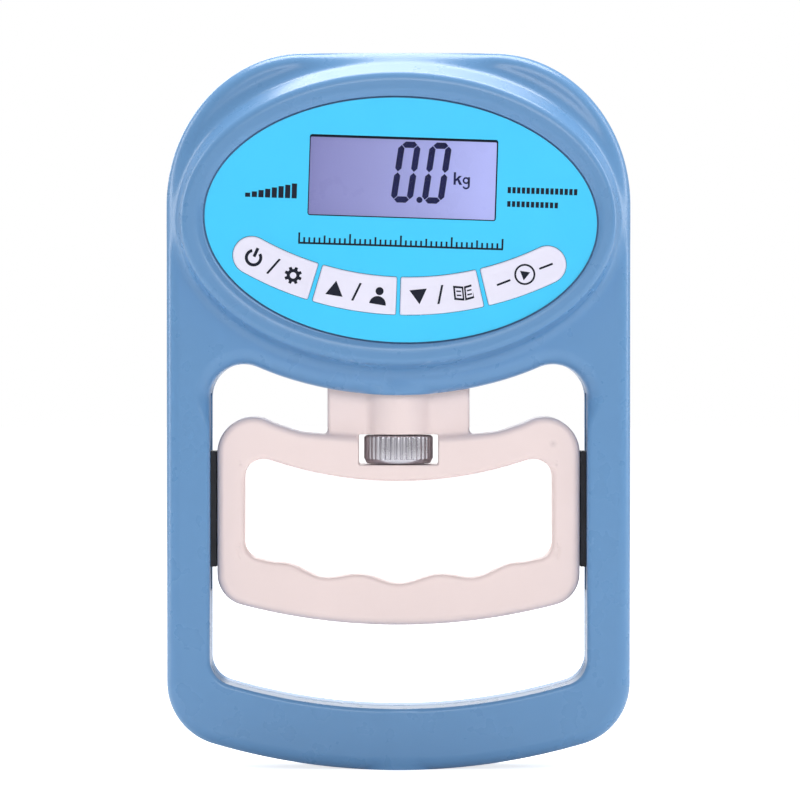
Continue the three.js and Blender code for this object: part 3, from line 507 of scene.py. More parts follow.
def opening_outline():
    half_width, tangent_x, corner = 50, 37.4, 9
    slope = SKIRT_Z * tangent_x / (SKIRT_X**2 * math.sqrt(1 - (tangent_x / SKIRT_X) ** 2))
    tilt = math.atan(slope)
    corner_z = float(head_edge(tangent_x)) - corner * math.cos(tilt)
    return mirrored(
        hanging_arc(16.2, 160, 7, half_width, 0),
        arc(half_width - corner, corner_z, corner, 0, math.pi / 2 + tilt),
        graph(head_edge, tangent_x, 0),
    )


housing = Outline(housing_outline())
opening = Outline(opening_outline())


def bezel_run(rise):
    """Breadth of the bezel's slope, which is gentler towards the top."""
    return 1.9 + 2.6 * smoothstep(rise, 0.05, 0.95)


def opening_lip(z):
    """Radius of the front edge round the opening, which widens under the head."""
    return 1.3 + 3.2 * smoothstep(z, 90, 99)


def housing_formulas(q):
    return {
        "crest": ellipse_distance(q, 0, HEAD_Z, CREST_X, CREST_Z),
        "rim": ellipse_distance(q, 0.3, HEAD_Z, RIM_X, RIM_Z),
        "seat": ellipse_distance(q, PANEL[0], PANEL[1], SEAT_X, SEAT_Z, PANEL[2]),
        "run": bezel_run((q[:, 1] - HEAD_Z) / CREST_Z),
        "lip": opening_lip(q[:, 1]),
        "bulge": BOSS + 2.75 - 2.5 * smoothstep(q[:, 1], 101, 107),
    }


def front_value(f, proud):
    body = round_max(proud - FACE, f["out"], EDGE)
    drop = CREST - FACE
    lean = drop / np.hypot(drop, f["run"])
    wall = (f["crest"] - f["run"] * (CREST - proud) / drop) * lean
    bezel = round_max(proud - CREST + SKIN, wall, 1.3)
    shape = round_min(body, bezel, 2.2)
    shape = round_max(shape, -f["open"], f["lip"])
    bulge = round_max(np.hypot(f["x"], proud + AXIS_Y) - f["bulge"], -f["open"], 1.0)
    shape = round_min(shape, bulge, 1.2)
    bevel = (proud - CREST + SKIN - np.maximum(f["rim"], -1.4) / 1.4) * 0.81
    shape = round_max(shape, bevel, 0.4)
    return np.maximum(shape, np.minimum(proud - SEAT, -f["seat"] - HALF_STEP))


def level(heights, distance, height):
    """Sets a height where the distance is well inside."""
    heights[distance < -HALF_STEP] = height


def deepen(heights, distance, height):
    """Raises the heights to at least a given one where the distance is well inside."""
    within = distance < -HALF_STEP
    heights[within] = np.maximum(heights, height)[within]


def hollow_distance(q):
    return np.maximum(housing.measure(q)[0] + WALL, WALL - opening.measure(q)[0])


def passage_depth(q, side):
    """Proud value to which the way for the neck cuts the head's lower wall."""
    round_part = np.sqrt(np.maximum((BOSS + 0.55) ** 2 - q[:, 0] ** 2, 0)) + side * AXIS_Y
    return np.maximum(NECK_FACE[side] + NECK_ROOM, round_part)


def shell_inside(q, side, face):
    """Proud values of a shell's inner side: its grooved rim, hollow, neck passage and rail slots."""
    edge_distance = np.maximum(housing.measure(q)[0], -opening.measure(q)[0])
    heights = SPLIT[side] + np.clip(GROOVE + edge_distance, 0, GROOVE)
    level(heights, hollow_distance(q), face - WALL)
    deepen(heights, rectangle_distance(q, *NECK_WAY), passage_depth(q, side))
    for slot in RAIL_SLOTS:
        deepen(heights, rectangle_distance(q, *slot), RAIL_FACE[side])
    return heights


def flat_at(height):
    return lambda q: np.full(len(q), height)


def paired(ring):
    """The two lines of an upright step, from a function of the offset."""
    return [ring(0.0), ring(-STEP_RUN)]


def box_ring(x0, x1, z0, z1, corner=0.0):
    def ring(grow):
        rounding = max(corner + grow, 0) if corner else 0
        return refined(rectangle(x0 - grow, x1 + grow, z0 - grow, z1 + grow, rounding), 0.9)

    return ring


def circle_ring(x, z, radius, step=0.5):
    return lambda grow: arc(x, z, radius + grow, 0, TAU, step)[:-1]


def shell_inner_rings():
    rings = [housing.ring(-GROOVE), opening.ring(GROOVE)]
    rings += paired(lambda grow: housing.ring(grow - WALL))
    rings += paired(lambda grow: opening.ring(WALL - grow))
    for box in (NECK_WAY, *RAIL_SLOTS):
        rings += paired(box_ring(*box))
    return rings


def kept_runs(ring, keep):
    """The stretches of a closed ring whose points are all kept, as open lines."""
    if keep.all():
        return [np.concatenate([ring, ring[:1]])]
    start = int(np.argmin(keep))
    ring, keep = np.roll(ring, -start, axis=0), np.roll(keep, -start)
    runs = np.split(np.arange(len(ring)), np.flatnonzero(np.diff(keep.astype(int))) + 1)
    return [ring[run] for run in runs if keep[run[0]] and len(run) > 1]


QUARTER_TURN = [math.radians(a) for a in (4, 11, 20, 30, 41, 53, 66, 78, 90)]


def edge_rings(outline, radius, inward=True):
    """Offsets of an outline that follow a rounded edge; the radius may differ along it."""
    sign = -1 if inward else 1
    return [outline.ring(sign * radius * (1 - math.cos(a))) for a in QUARTER_TURN]


def key_outline(left, start, end, grow, smooth=2):
    """One key of the curved row, in the panel's own frame, in radians from the middle."""
    side = -1 if left else 1
    middle_radius, half = (KEY_INNER + KEY_OUTER) / 2, (KEY_OUTER - KEY_INNER) / 2
    around = np.linspace(start, end, 24)
    under = np.stack([KEY_OUTER * np.sin(around), KEY_CENTRE - KEY_OUTER * np.cos(around)], axis=1)
    over = np.stack([KEY_INNER * np.sin(around), KEY_CENTRE - KEY_INNER * np.cos(around)], axis=1)[::-1]
    end_cap = np.zeros((0, 2))
    if end > math.radians(20):
        middle = middle_radius * np.sin(end), KEY_CENTRE - middle_radius * np.cos(end)
        end_cap = arc(*middle, half, end - math.pi / 2, end + math.pi / 2, 0.4)
    points = np.concatenate([under, end_cap, over])
    if side < 0:
        points = points[::-1] * [-1, 1]
    return Outline(Outline(points, 0.4, smooth).ring(grow), 0.4)


KEYS = {
    "key_power": (True, math.radians(15.4), math.radians(27.3)),
    "key_up": (True, math.radians(0.35), math.radians(14.6)),
    "key_down": (False, math.radians(0.35), math.radians(14.6)),
    "key_start": (False, math.radians(15.4), math.radians(27.3)),
}


def in_object(points):
    return turned_points(points, *PANEL)


def front_shell(material):
    display = Outline(rectangle(*np.add(DISPLAY, (-1.5, 1.5, -1.5, 1.5)), 1.0))
    holes = [in_object(display.points)]
    holes += [in_object(key_outline(*KEYS[name], 0.3).points) for name in KEYS]

    def crest(share, beyond=0.0):
        return ellipse(0, HEAD_Z, CREST_X, CREST_Z, lambda a: share * bezel_run(np.sin(a)) + beyond)

    lip = opening_lip(opening.points[:, 1])
    rings = edge_rings(housing, EDGE) + edge_rings(opening, lip, inward=False)
    rings += [opening.ring(0.35), opening.ring(0.8)]
    wall_rings = [crest(0, -step) for step in (2.4, 1.6, 1.25, 0.95, 0.68, 0.44, 0.24, 0.08)]
    wall_rings += [crest(share) for share in (0.04, 0.12, 0.2, 0.3, 0.4, 0.5, 0.6, 0.7, 0.8, 0.9, 1.0)]
    wall_rings += [crest(1, beyond) for beyond in (0.3, 0.65, 1.05, 1.5, 2.1, 2.8)]
    lines = [run for ring in wall_rings for run in kept_runs(ring, housing.measure(ring)[0] < -0.2)]
    rings += [ellipse(0.3, HEAD_Z, RIM_X, RIM_Z, grow) for grow in (0.5, 0.2, 0.0, -0.2, -0.5, -1.3)]
    rings += paired(lambda grow: ellipse(PANEL[0], PANEL[1], SEAT_X, SEAT_Z, grow, PANEL[2]))
    low = SPLIT[FRONT] + GROOVE
    field = Field(front_value, {"out": housing, "open": opening}, housing_formulas, low, CREST + 1)

    def inner(q):
        heights = shell_inside(q, FRONT, FACE)
        level(heights, ellipse_distance(q, *HEAD_ROOM), SEAT_BACK)
        for x, z in SHELL_SCREWS:
            level(heights, circle_distance(q, x, z, SHELL_POST[FRONT]), SPLIT[FRONT])
            level(heights, circle_distance(q, x, z, SHELL_BORE), SHELL_HOLE_END)
        return heights

    inner_rings = shell_inner_rings() + paired(lambda grow: ellipse(*HEAD_ROOM, grow, count=200))
    for x, z in SHELL_SCREWS:
        for radius in (SHELL_POST[FRONT], SHELL_BORE):
            inner_rings += paired(circle_ring(x, z, radius))
    slab("housing_front", FRONT, [housing.points, opening.points, *holes], field, inner, material,
         "frame", ["front_shell"], rings, inner_rings, spacing=1.7, lines=lines)


def rear_value(f, proud):
    body = round_max(proud - BACK + SKIN, f["out"], EDGE)
    body = round_max(body, -f["open"], REAR_LIP)
    steps = (DOOR_SEAT, "door", 0.3), (BAY_FLOOR, "room", 0.02), (SCREW_SEAT, "bores", 0.3)
    for floor, key, edge in steps:
        body = round_max(body, np.minimum(proud - floor, -f[key] - HALF_STEP), edge)
    x, z, half_x, half_z = SCOOP
    bowl = 1 - ((f["x"] - x) / half_x) ** 2 - ((f["z"] - z) / half_z) ** 2
    return round_max(body, proud - BACK + 2.2 * np.maximum(bowl, 0), 0.3)


def rear_formulas(q):
    return {
        "door": rectangle_distance(q, *DOORWAY, DOOR_CORNER + 0.3),
        "room": rectangle_distance(q, *ROOM),
        "bores": np.min([circle_distance(q, x, z, SHELL_HEAD_BORE) for x, z in SHELL_SCREWS], axis=0),
    }


def rear_shell(material):
    holes = [circle_ring(x, z, SHELL_BORE, 0.4)(0) for x, z in SHELL_SCREWS]
    rings = edge_rings(housing, EDGE) + edge_rings(opening, REAR_LIP, inward=False)
    steps = [circle_ring(x, z, SHELL_HEAD_BORE) for x, z in SHELL_SCREWS]
    steps += [box_ring(*DOORWAY, DOOR_CORNER + 0.3), box_ring(*ROOM)]
    for ring in steps[:-1]:
        rings += [ring(grow) for grow in (0.36, 0.2, 0.08)]
    for ring in steps:
        rings += paired(ring)
    x, z, half_x, half_z = SCOOP
    lines = []
    for share in (1.06, 0.98, 0.85, 0.7, 0.5, 0.3):
        ring = ellipse(x, z, half_x * share, half_z * share, count=72)
        lines += kept_runs(ring, rectangle_distance(ring, *DOORWAY, DOOR_CORNER + 0.3) > 0.45)
    field = Field(rear_value, {"out": housing, "open": opening}, rear_formulas, 0, BACK + 1)

    def inner(q):
        heights = shell_inside(q, REAR, BACK)
        level(heights, rectangle_distance(q, *BAY), BAY_BACK)
        for x, z in SHELL_SCREWS:
            level(heights, circle_distance(q, x, z, SHELL_POST[REAR]), SPLIT[REAR])
        return heights

    inner_rings = shell_inner_rings() + paired(box_ring(*BAY))
    for x, z in SHELL_SCREWS:
        inner_rings += paired(circle_ring(x, z, SHELL_POST[REAR]))
    slab("housing_rear", REAR, [housing.points, opening.points, *holes], field, inner, material,
         "frame", ["rear_shell"], rings, inner_rings, spacing=2.5, lines=lines)


def battery_door(material):
    """The door, with finger ridges and an arrow sunk in its outer face."""
    outline = Outline(rectangle(*DOOR, DOOR_CORNER))
    ridges = [(-7.5, 7.5, z, z + 1.1) for z in np.arange(166.5, 176, 2.2)]
    head = [[-3.2, 161.6], [0, 157.6], [3.2, 161.6]]
    shaft = [[1.2, 161.6], [1.2, 164], [-1.2, 164], [-1.2, 161.6]]
    arrow = Outline(np.array(head + shaft), 0.4, 1)

    def formulas(q):
        return {"ridges": np.min([rectangle_distance(q, *ridge, 0.5) for ridge in ridges], axis=0)}

    def value(f, proud):
        body = round_max(proud - BACK + SKIN, f["out"], 0.5)
        grooves = np.minimum(proud - BACK + 0.55, -f["ridges"] - HALF_STEP)
        mark = np.minimum(proud - BACK + 0.4, -f["arrow"] - HALF_STEP)
        return round_max(round_max(body, grooves, 0.25), mark, 0.1)

    rings = edge_rings(outline, 0.5)
    for ridge in ridges:
        ring = box_ring(*ridge, 0.5)
        rings += [ring(0.3), ring(0.12), *paired(ring)]
    rings += [arrow.ring(0.12), arrow.ring(0), arrow.ring(-STEP_RUN)]
    field = Field(value, {"out": outline, "arrow": arrow}, formulas, DOOR_BACK + 0.05, BACK + 1)
    slab("battery_door", REAR, [outline.points], field, flat_at(DOOR_BACK), material, "battery_door",
         ["battery_cover"], rings, spacing=2.5)


# ---------------------------------------------------------------- handle


def handle_outline(with_neck):
    """The grip's outer line; with the neck it is the line of the whole handle."""
    drop, end_x, waist_z = 13.3, 26, 88
    slope_end = float(head_edge(end_x)) - drop
    shoulder = arc(38.7, 84, 9.5, 0, math.pi / 2 + 0.33)
    slope = graph(lambda x: head_edge(x) - drop, 34, end_x)
    waist_end = NECK + 2.2 if with_neck else 0
    waist = graph(lambda x: waist_z + (slope_end - waist_z) * (x / end_x) ** 2, end_x - 1, waist_end)
    runs = [hanging_arc(38.2, 165, 8.5, HANDLE_HALF_WIDTH, 0), shoulder, slope, waist]
    if with_neck:
        fillet = 1.3
        corner_z = waist[-1, 1] + fillet - 0.1
        runs.append(arc(NECK + fillet, corner_z, fillet, -math.pi / 2, -math.pi, 0.3))
        runs.append(np.array([[NECK, 96], [NECK, NECK_TOP - 0.5], [NECK - 0.5, NECK_TOP], [0, NECK_TOP]]))
    return mirrored(*runs)


def grip_height(x):
    """The grooved bar's upper line: a shallow arch with a wave that fades out towards its ends."""
    fade = smoothstep(np.abs(x), 27, 36.6)
    return 50.1 + 0.0041 * x * x - (1 - fade) * np.cos(TAU * x / 20.5)


def finger_outline():
    half_width, roof_z, roof_radius, roof_corner, grip_end, grip_corner = 41.1, 76.5, 106, 5.3, 36.6, 4.5
    corner_x = half_width - roof_corner
    lean = math.asin(corner_x / (roof_radius + roof_corner))
    roof_centre = roof_z + roof_radius
    corner_z = roof_centre - (roof_radius + roof_corner) * math.cos(lean)
    quarter = math.pi / 2
    return mirrored(
        graph(grip_height, 0, grip_end, 0.5),
        arc(grip_end, float(grip_height(grip_end)) + grip_corner, grip_corner, -quarter, 0, 0.5),
        arc(corner_x, corner_z, roof_corner, 0, quarter + lean, 0.5),
        arc(0, roof_centre, roof_radius, lean - quarter, -quarter),
    )


bar = Outline(handle_outline(False), 0.7, smooth=3)
grip = Outline(handle_outline(True), 0.7, smooth=2)
finger = Outline(finger_outline(), 0.6, smooth=1)
window = Outline(rectangle(*WINDOW, 0.5, 0.3), 0.6)


def handle_formulas(q):
    return {
        "neck": np.abs(q[:, 0]) - NECK,
        "low": smoothstep(62 - q[:, 1], 0, 6),
        "bores": np.min([circle_distance(q, x, z, HANDLE_HEAD_BORE) for x, z in HANDLE_SCREWS], axis=0),
    }


def handle_value(side):
    face, neck_face = HANDLE_FACE[side], NECK_FACE[side]

    def value(f, proud):
        ring = round_max(proud - face + SKIN, f["bar"], GRIP_EDGE)
        bevel = proud - face + SKIN + GRIP_BEVEL_SLOPE * f["low"] * (GRIP_BEVEL - f["finger"])
        ring = round_max(ring, np.minimum(bevel, f["bar"] + 6), 0.15)
        ring = round_max(ring, -f["finger"], FINGER_EDGE)
        neck = round_max(np.maximum(proud - neck_face, 80 - f["z"]), f["neck"], 1.0)
        boss = np.hypot(f["x"], proud - side * AXIS_Y) - BOSS
        boss = np.maximum(boss, 84 - f["z"])
        shape = round_min(round_min(neck, boss, 0.8), ring, 1.2)
        shape = round_max(shape, -f["window"], 0.5)
        if side == REAR:
            shape = round_max(shape, np.minimum(proud - HANDLE_SEAT, -f["bores"] - HALF_STEP), 0.25)
        return shape

    return value


def handle_inside(q, side):
    heights = np.full(len(q), SPLIT[side])
    hollow = np.maximum(bar.measure(q)[0] + WALL, WALL - finger.measure(q)[0])
    hollow = np.maximum(hollow, -rectangle_distance(q, *CORE))
    level(heights, hollow, HANDLE_FACE[side] - WALL)
    across = np.abs(q[:, 0])
    for radius, low, high in SPINDLE_BORES:
        groove = (q[:, 1] > low + HALF_STEP) & (q[:, 1] < high + HALF_STEP) & (across < radius)
        depth = np.sqrt(np.maximum(radius**2 - across**2, 0)) + side * AXIS_Y
        heights[groove] = np.maximum(heights, depth)[groove]
    for x, z in HANDLE_SCREWS:
        level(heights, circle_distance(q, x, z, HANDLE_POST), SPLIT[side])
        if side == FRONT:
            level(heights, circle_distance(q, x, z, HANDLE_BORE), HANDLE_HOLE_END)
    return heights


def handle_lines():
    """Open lines that follow the outer face's rounded edges and the neck's curves."""
    above = [bar.ring(grow) for grow in (0.15, 0.5, 0.9, 1.3)]
    edges = edge_rings(bar, GRIP_EDGE) + edge_rings(finger, FINGER_EDGE, inward=False)
    edges += [bar.ring(-GRIP_EDGE - 0.4)]
    edges += [finger.ring(GRIP_BEVEL + beyond) for beyond in (-0.5, -0.2, 0, 0.2)]
    lines = []
    for rings, from_grip, from_window in ((above, 0.25, 0.8), (edges, 1e-3, 0.6)):
        for ring in rings:
            keep = (grip.measure(ring)[0] < -from_grip) & (window.measure(ring)[0] > from_window)
            lines += kept_runs(ring, keep)
    z = np.arange(90.6, 109.4, 0.9)
    neck_edge = [NECK - inset for inset in (0.1, 0.35, 0.7, 1.05)]
    for x in (*neck_edge, *np.arange(9.5, 10.4, 0.3), *np.arange(0.4, 9.5, 0.6)):
        lines += [np.stack([np.full(len(z), sign * x), z], axis=1) for sign in (-1, 1)]
    return lines


def handle_inner_rings(side):
    rings = []
    for outline, sign in ((bar, 1), (finger, -1)):
        rings += paired(lambda grow: outline.ring(sign * (grow - WALL)))
    rings += paired(box_ring(*CORE))
    for radius, low, high in SPINDLE_BORES:
        high = min(high, NECK_TOP - 0.1)
        columns = np.unique(np.round(radius * np.cos(np.linspace(0, math.pi, 13)), 3))
        rings += [np.array([[x, low], [x, high], [x, low + STEP_RUN]]) for x in columns]
        rings += [np.array([[x, z] for x in columns]) for z in (low, low + STEP_RUN, high)]
    for x, z in HANDLE_SCREWS:
        for radius in (HANDLE_POST, HANDLE_BORE)[:2 if side == FRONT else 1]:
            rings += paired(circle_ring(x, z, radius))
    return rings


def handle_half(side, material):
    end = "front" if side == FRONT else "rear"
    loops = [grip.points, finger.points, window.points]
    rings = [window.ring(grow) for grow in (0.02, 0.1, 0.25, 0.42, 0.6)]
    if side == REAR:
        for x, z in HANDLE_SCREWS:
            loops.append(circle_ring(x, z, HANDLE_BORE, 0.4)(0))
            ring = circle_ring(x, z, HANDLE_HEAD_BORE, 0.4)
            rings += [ring(0.3), ring(0.12), *paired(ring)]
    field = Field(handle_value(side), {"bar": bar, "finger": finger, "window": window}, handle_formulas,
                  -3.0 if side == FRONT else 4.0, 15)
    slab(f"grip_{end}", side, loops, field, lambda q: handle_inside(q, side), material, "handle",
         [f"handle_{end}"], rings, handle_inner_rings(side), spacing=1.5,
         lines=handle_lines())


# ---------------------------------------------------------------- wheel, screws and cells


def turned_piece(name, profile, columns, place, material, body, node, radius_of=None, bored=False):
    """A turned piece. `place` maps (across, across, height) to the object. A bored piece's profile is a
    closed line; any other starts and ends on the axis."""
    angle = np.arange(columns) * TAU / columns
    vertices = []
    rows = []
    for radius, height in profile:
        start = len(vertices)
        if radius == 0:
            vertices.append((0, 0, height))
            rows.append([start] * columns)
            continue
        reach = np.full(columns, radius) if radius_of is None else radius_of(radius, height, angle)
        vertices.extend(zip(reach * np.cos(angle), reach * np.sin(angle), np.full(columns, height)))
        rows.append(list(range(start, start + columns)))
    faces = []
    for lower, upper in zip(rows, rows[1:] + rows[:1] if bored else rows[1:]):
        for j in range(columns):
            k = (j + 1) % columns
            corners = [lower[j], lower[k], upper[k], upper[j]]
            faces.append(list(dict.fromkeys(corners)))
    piece = make_piece(name, place(np.array(vertices, float)), faces, None, material, body, [node])
    piece.data.set_sharp_from_angle(angle=math.radians(38))


def adjusting_wheel(material):
    low, high = limits("adjusting_wheel")
    radius, bottom, top = high[0] - SKIN, low[2], high[2]
    flutes, bore = 36, 4.3

    def fluted(reach, height, angle):
        depth = 0.4 if bottom + 1.2 < height < top - 0.3 else 0.0
        wave = 0.5 - 0.5 * np.cos(flutes * angle)
        return reach - depth * wave**2

    profile = [
        (bore, bottom + 0.3), (bore + 0.3, bottom), (radius - 0.85, bottom), (radius - 0.7, bottom + 0.08),
        (radius - 0.42, bottom + 0.55), (radius - 0.24, bottom + 1.0), (radius - 0.2, bottom + 1.15),
        (radius - 0.05, bottom + 1.25), (radius, bottom + 1.5), (radius, (bottom + top) / 2),
        (radius, top - 0.7), (radius - 0.05, top - 0.45), (radius - 0.25, top - 0.3),
        (radius - 0.5, top - 0.1), (radius - 0.7, top), (bore + 0.3, top), (bore, top - 0.3),
    ]
    turned_piece("grip_wheel", profile, flutes * 18, lambda v: v + [0, AXIS_Y, 0], material, "wheel",
                 "adjusting_wheel", fluted, bored=True)


def quarter_turned(points):
    return np.asarray(points, float)[:, ::-1] * [-1, 1]


def four_turns(points):
    """A line repeated at each quarter turn about the origin."""
    turns = [np.asarray(points, float)]
    while len(turns) < 4:
        turns.append(quarter_turned(turns[-1]))
    return np.concatenate(turns)


def cross_screw(node, radius, head_top, seat, tip, shank, material, body):
    """A pan-head screw that faces the back, with a cross recess in its head."""
    low, high = limits(node)
    x, z = (low[0] + high[0]) / 2, (low[2] + high[2]) / 2
    arm, reach = 0.42, radius * 0.62

    def cross(q):
        dx, dz = q[:, 0] - x, q[:, 1] - z
        across = np.maximum(np.abs(dx) - arm, np.abs(dz) - reach)
        down = np.maximum(np.abs(dx) - reach, np.abs(dz) - arm)
        return np.minimum(across, down)

    def outer(q):
        share = np.clip(np.hypot(q[:, 0] - x, q[:, 1] - z) / radius, 0, 1)
        heights = head_top - 0.9 * share**4 - 0.25 * share**2
        depth = np.clip(-cross(q) / 0.1, 0, 1) * (1.1 - 0.5 * share)
        return heights - depth

    def inner(q):
        return np.where(circle_distance(q, x, z, shank) < -HALF_STEP, tip, seat)

    rings = [circle_ring(x, z, radius * share, 0.25)(0) for share in (0.97, 0.92, 0.84, 0.74)]
    for inset in (0, 0.1):
        a, b = arm - inset, reach - inset
        rings.append(four_turns([[b, -a], [b, a], [a, a]]) + [x, z])
    slab(f"{node}_detail", REAR, [circle_ring(x, z, radius, 0.25)(0)], outer, inner, material, body,
         [node], rings, paired(circle_ring(x, z, shank, 0.3)))


def battery(node, side, material):
    """A cell with its raised terminal, rolled crimps and a shoulder at each end of the sleeve."""
    low, high = limits(node)
    y, z = (low[1] + high[1]) / 2, (low[2] + high[2]) / 2
    radius, length = (high[2] - low[2]) / 2, high[0] - low[0]
    profile = [
        (0, 0.15), (2.4, 0.15), (3.6, 0), (4.5, 0.05), (radius - 0.1, 0.35), (radius, 0.7),
        (radius - 0.02, 1.0), (radius - 0.12, 1.05), (radius - 0.02, 1.1), (radius, 1.3),
        (radius, length - 2.4), (radius - 0.05, length - 2.2), (radius - 0.35, length - 1.75),
        (radius - 0.75, length - 1.35), (3.2, length - 1.1), (2.1, length - 0.95), (1.9, length - 0.85),
        (1.9, length - 0.2), (1.7, length), (0, length),
    ]

    def place(v):
        along = v[:, 2] if side > 0 else -v[:, 2]
        start = low[0] if side > 0 else high[0]
        return np.stack([start + along, y + side * v[:, 0], z + v[:, 1]], axis=1)

    turned_piece(f"{node}_detail", profile, 64, place, material, "frame", node)


# ---------------------------------------------------------------- display, panel and keys


def front_of(node):
    """Proud value of a node's front face, less the skin."""
    return -limits(node)[0][1] - SKIN


def panel_sheet(material):
    outline = Outline(ellipse(0, 0, PANEL_X, PANEL_Z, count=420))
    openings = [Outline(rectangle(*DISPLAY, 0.6), 0.6)] + [key_outline(*KEYS[name], 0.1) for name in KEYS]
    front = front_of("panel_overlay")
    slab("panel_sheet", FRONT, [outline.points, *[o.points for o in openings]], flat_at(front),
         flat_at(front - 0.75), material, "frame", ["panel_overlay"], place=PANEL, spacing=6)


def key_piece(name, material):
    """A key with a rounded rim and a slightly dished face."""
    outline = key_outline(*KEYS[name], -0.02)
    top = front_of(name)

    def value(f, proud):
        dish = DISH * smoothstep(-f["out"], 0.4, 2.6)
        return round_max(proud - top + dish, f["out"], 0.45)

    rings = edge_rings(outline, 0.45) + [outline.ring(-step) for step in (0.6, 0.9, 1.4, 2.0, 2.7, 3.4)]
    rings = [Outline(ring, 0.5).points for ring in rings]
    field = Field(value, {"out": outline}, lambda q: {}, 11.2, top + 1)
    slab(f"{name}_cap", FRONT, [outline.points], field, flat_at(11.1), material, name, [name],
         rings[:-1], place=PANEL, spacing=1.2)


def flat_prisms(name, shapes, back, thick, material, body):
    """Thin printed shapes as closed prisms. Each shape is an outline, or a list of one with its holes."""
    vertices = []
    faces = []
    for shape in shapes:
        loops = shape if isinstance(shape, list) else [shape]
        flat, triangles = triangulate(loops)
        count, base = len(flat), len(vertices)
        world = in_object(flat)
        for proud in (back + thick, back):
            vertices.extend([x, -proud, z] for x, z in world)
        faces.extend((triangles + base).tolist())
        faces.extend((triangles[:, ::-1] + base + count).tolist())
        for a, b in border(triangles).items():
            faces.append([base + b, base + a, base + count + a, base + count + b])
    piece = make_piece(name, vertices, faces, None, material, body)
    piece.data.set_sharp_from_angle(angle=math.radians(40))


def polar(radius, angle, x=0.0, z=0.0):
    return np.stack([x + radius * np.cos(angle), z + radius * np.sin(angle)], axis=1)


def disc(x, z, radius):
    return polar(radius, np.linspace(0, TAU, 33)[:-1], x, z)


def annulus_arc(x, z, inner, outer, start, end):
    angle = np.linspace(start, end, 25)
    return np.concatenate([polar(outer, angle, x, z), polar(inner, angle[::-1], x, z)])


def bar_shape(x0, x1, z0, z1, corner=0.0):
    return rectangle(x0, x1, z0, z1, corner, 0.15)


def slanted(points, slope=0.12):
    return np.stack([points[:, 0] + slope * points[:, 1], points[:, 1]], axis=1)


def zero_segments(x, z):
    """The six lit segments of a display digit that reads nought, about its centre."""
    half_width, half_height, tip, gap = 2.1, 7.25, 0.825, 0.12

    def pointed_bar(half):
        shoulder = half - tip - gap
        return np.array([[gap - half, 0], [-shoulder, -tip], [shoulder, -tip], [half - gap, 0],
                         [shoulder, tip], [-shoulder, tip]])

    level_bar, upright = pointed_bar(half_width), quarter_turned(pointed_bar(half_height / 2))
    places = [(level_bar, 0, half_height), (level_bar, 0, -half_height)]
    places += [(upright, sx * half_width, sz * half_height / 2) for sx in (-1, 1) for sz in (-1, 1)]
    return [slanted(shape + [dx, dz]) + [x, z] for shape, dx, dz in places]


def letter_k(x, z, size):
    """The unit's first letter, as bars."""
    stem = bar_shape(0, 0.18 * size, 0, size)
    upper = np.array([[0.18, 0.26], [0.38, 0.44], [0.66, 0.72], [0.42, 0.72], [0.18, 0.47]]) * size
    lower = np.array([[0.28, 0.4], [0.46, 0.0], [0.7, 0.0], [0.42, 0.5]]) * size
    return [stem + [x, z], upper + [x, z], lower + [x, z]]


def letter_g(x, z, size):
    middle = x + 0.27 * size, z + 0.36 * size
    ring = [disc(*middle, 0.28 * size), disc(*middle, 0.14 * size)[::-1]]
    stem = bar_shape(x + 0.42 * size, x + 0.58 * size, z - 0.08 * size, z + 0.64 * size)
    tail = annulus_arc(x + 0.28 * size, z - 0.04 * size, 0.16 * size, 0.3 * size, -math.pi + 0.35, 0.0)
    return [ring, stem, tail]


def display_print(material):
    shapes = zero_segments(0.9, 12.7) + zero_segments(9.1, 12.7)
    shapes += [disc(4.75, 5.5, 0.8)]
    shapes += letter_k(13.6, 9.8, 3.3) + letter_g(16.0, 9.8, 3.3)
    flat_prisms("lcd_digits", shapes, front_of("lcd_module"), 0.09, material, "frame")


def display_border_and_shadow(material):
    """The dark border printed on the window, just inside the panel's opening. It also paints the shadow of
    the panel's edge on the recessed cell, and is wider along the top for that painted shadow.
    """
    x0, x1, z0, z1 = DISPLAY
    # painted shadow: the hole is cut back furthest along the top, where the panel's edge shades the cell
    hole = rectangle(x0 + 0.25, x1 - 0.35, z0 + 0.3, z1 - 0.65, 0.3, 0.2)
    border_and_shadow_shape = [rectangle(x0 - 0.2, x1 + 0.2, z0 - 0.2, z1 + 0.2, 0.6, 0.3), hole[::-1]]
    back = front_of("display_lens") - PRINT_SINK
    flat_prisms("display_border_and_shadow", [border_and_shadow_shape], back, PRINT, material, "frame")


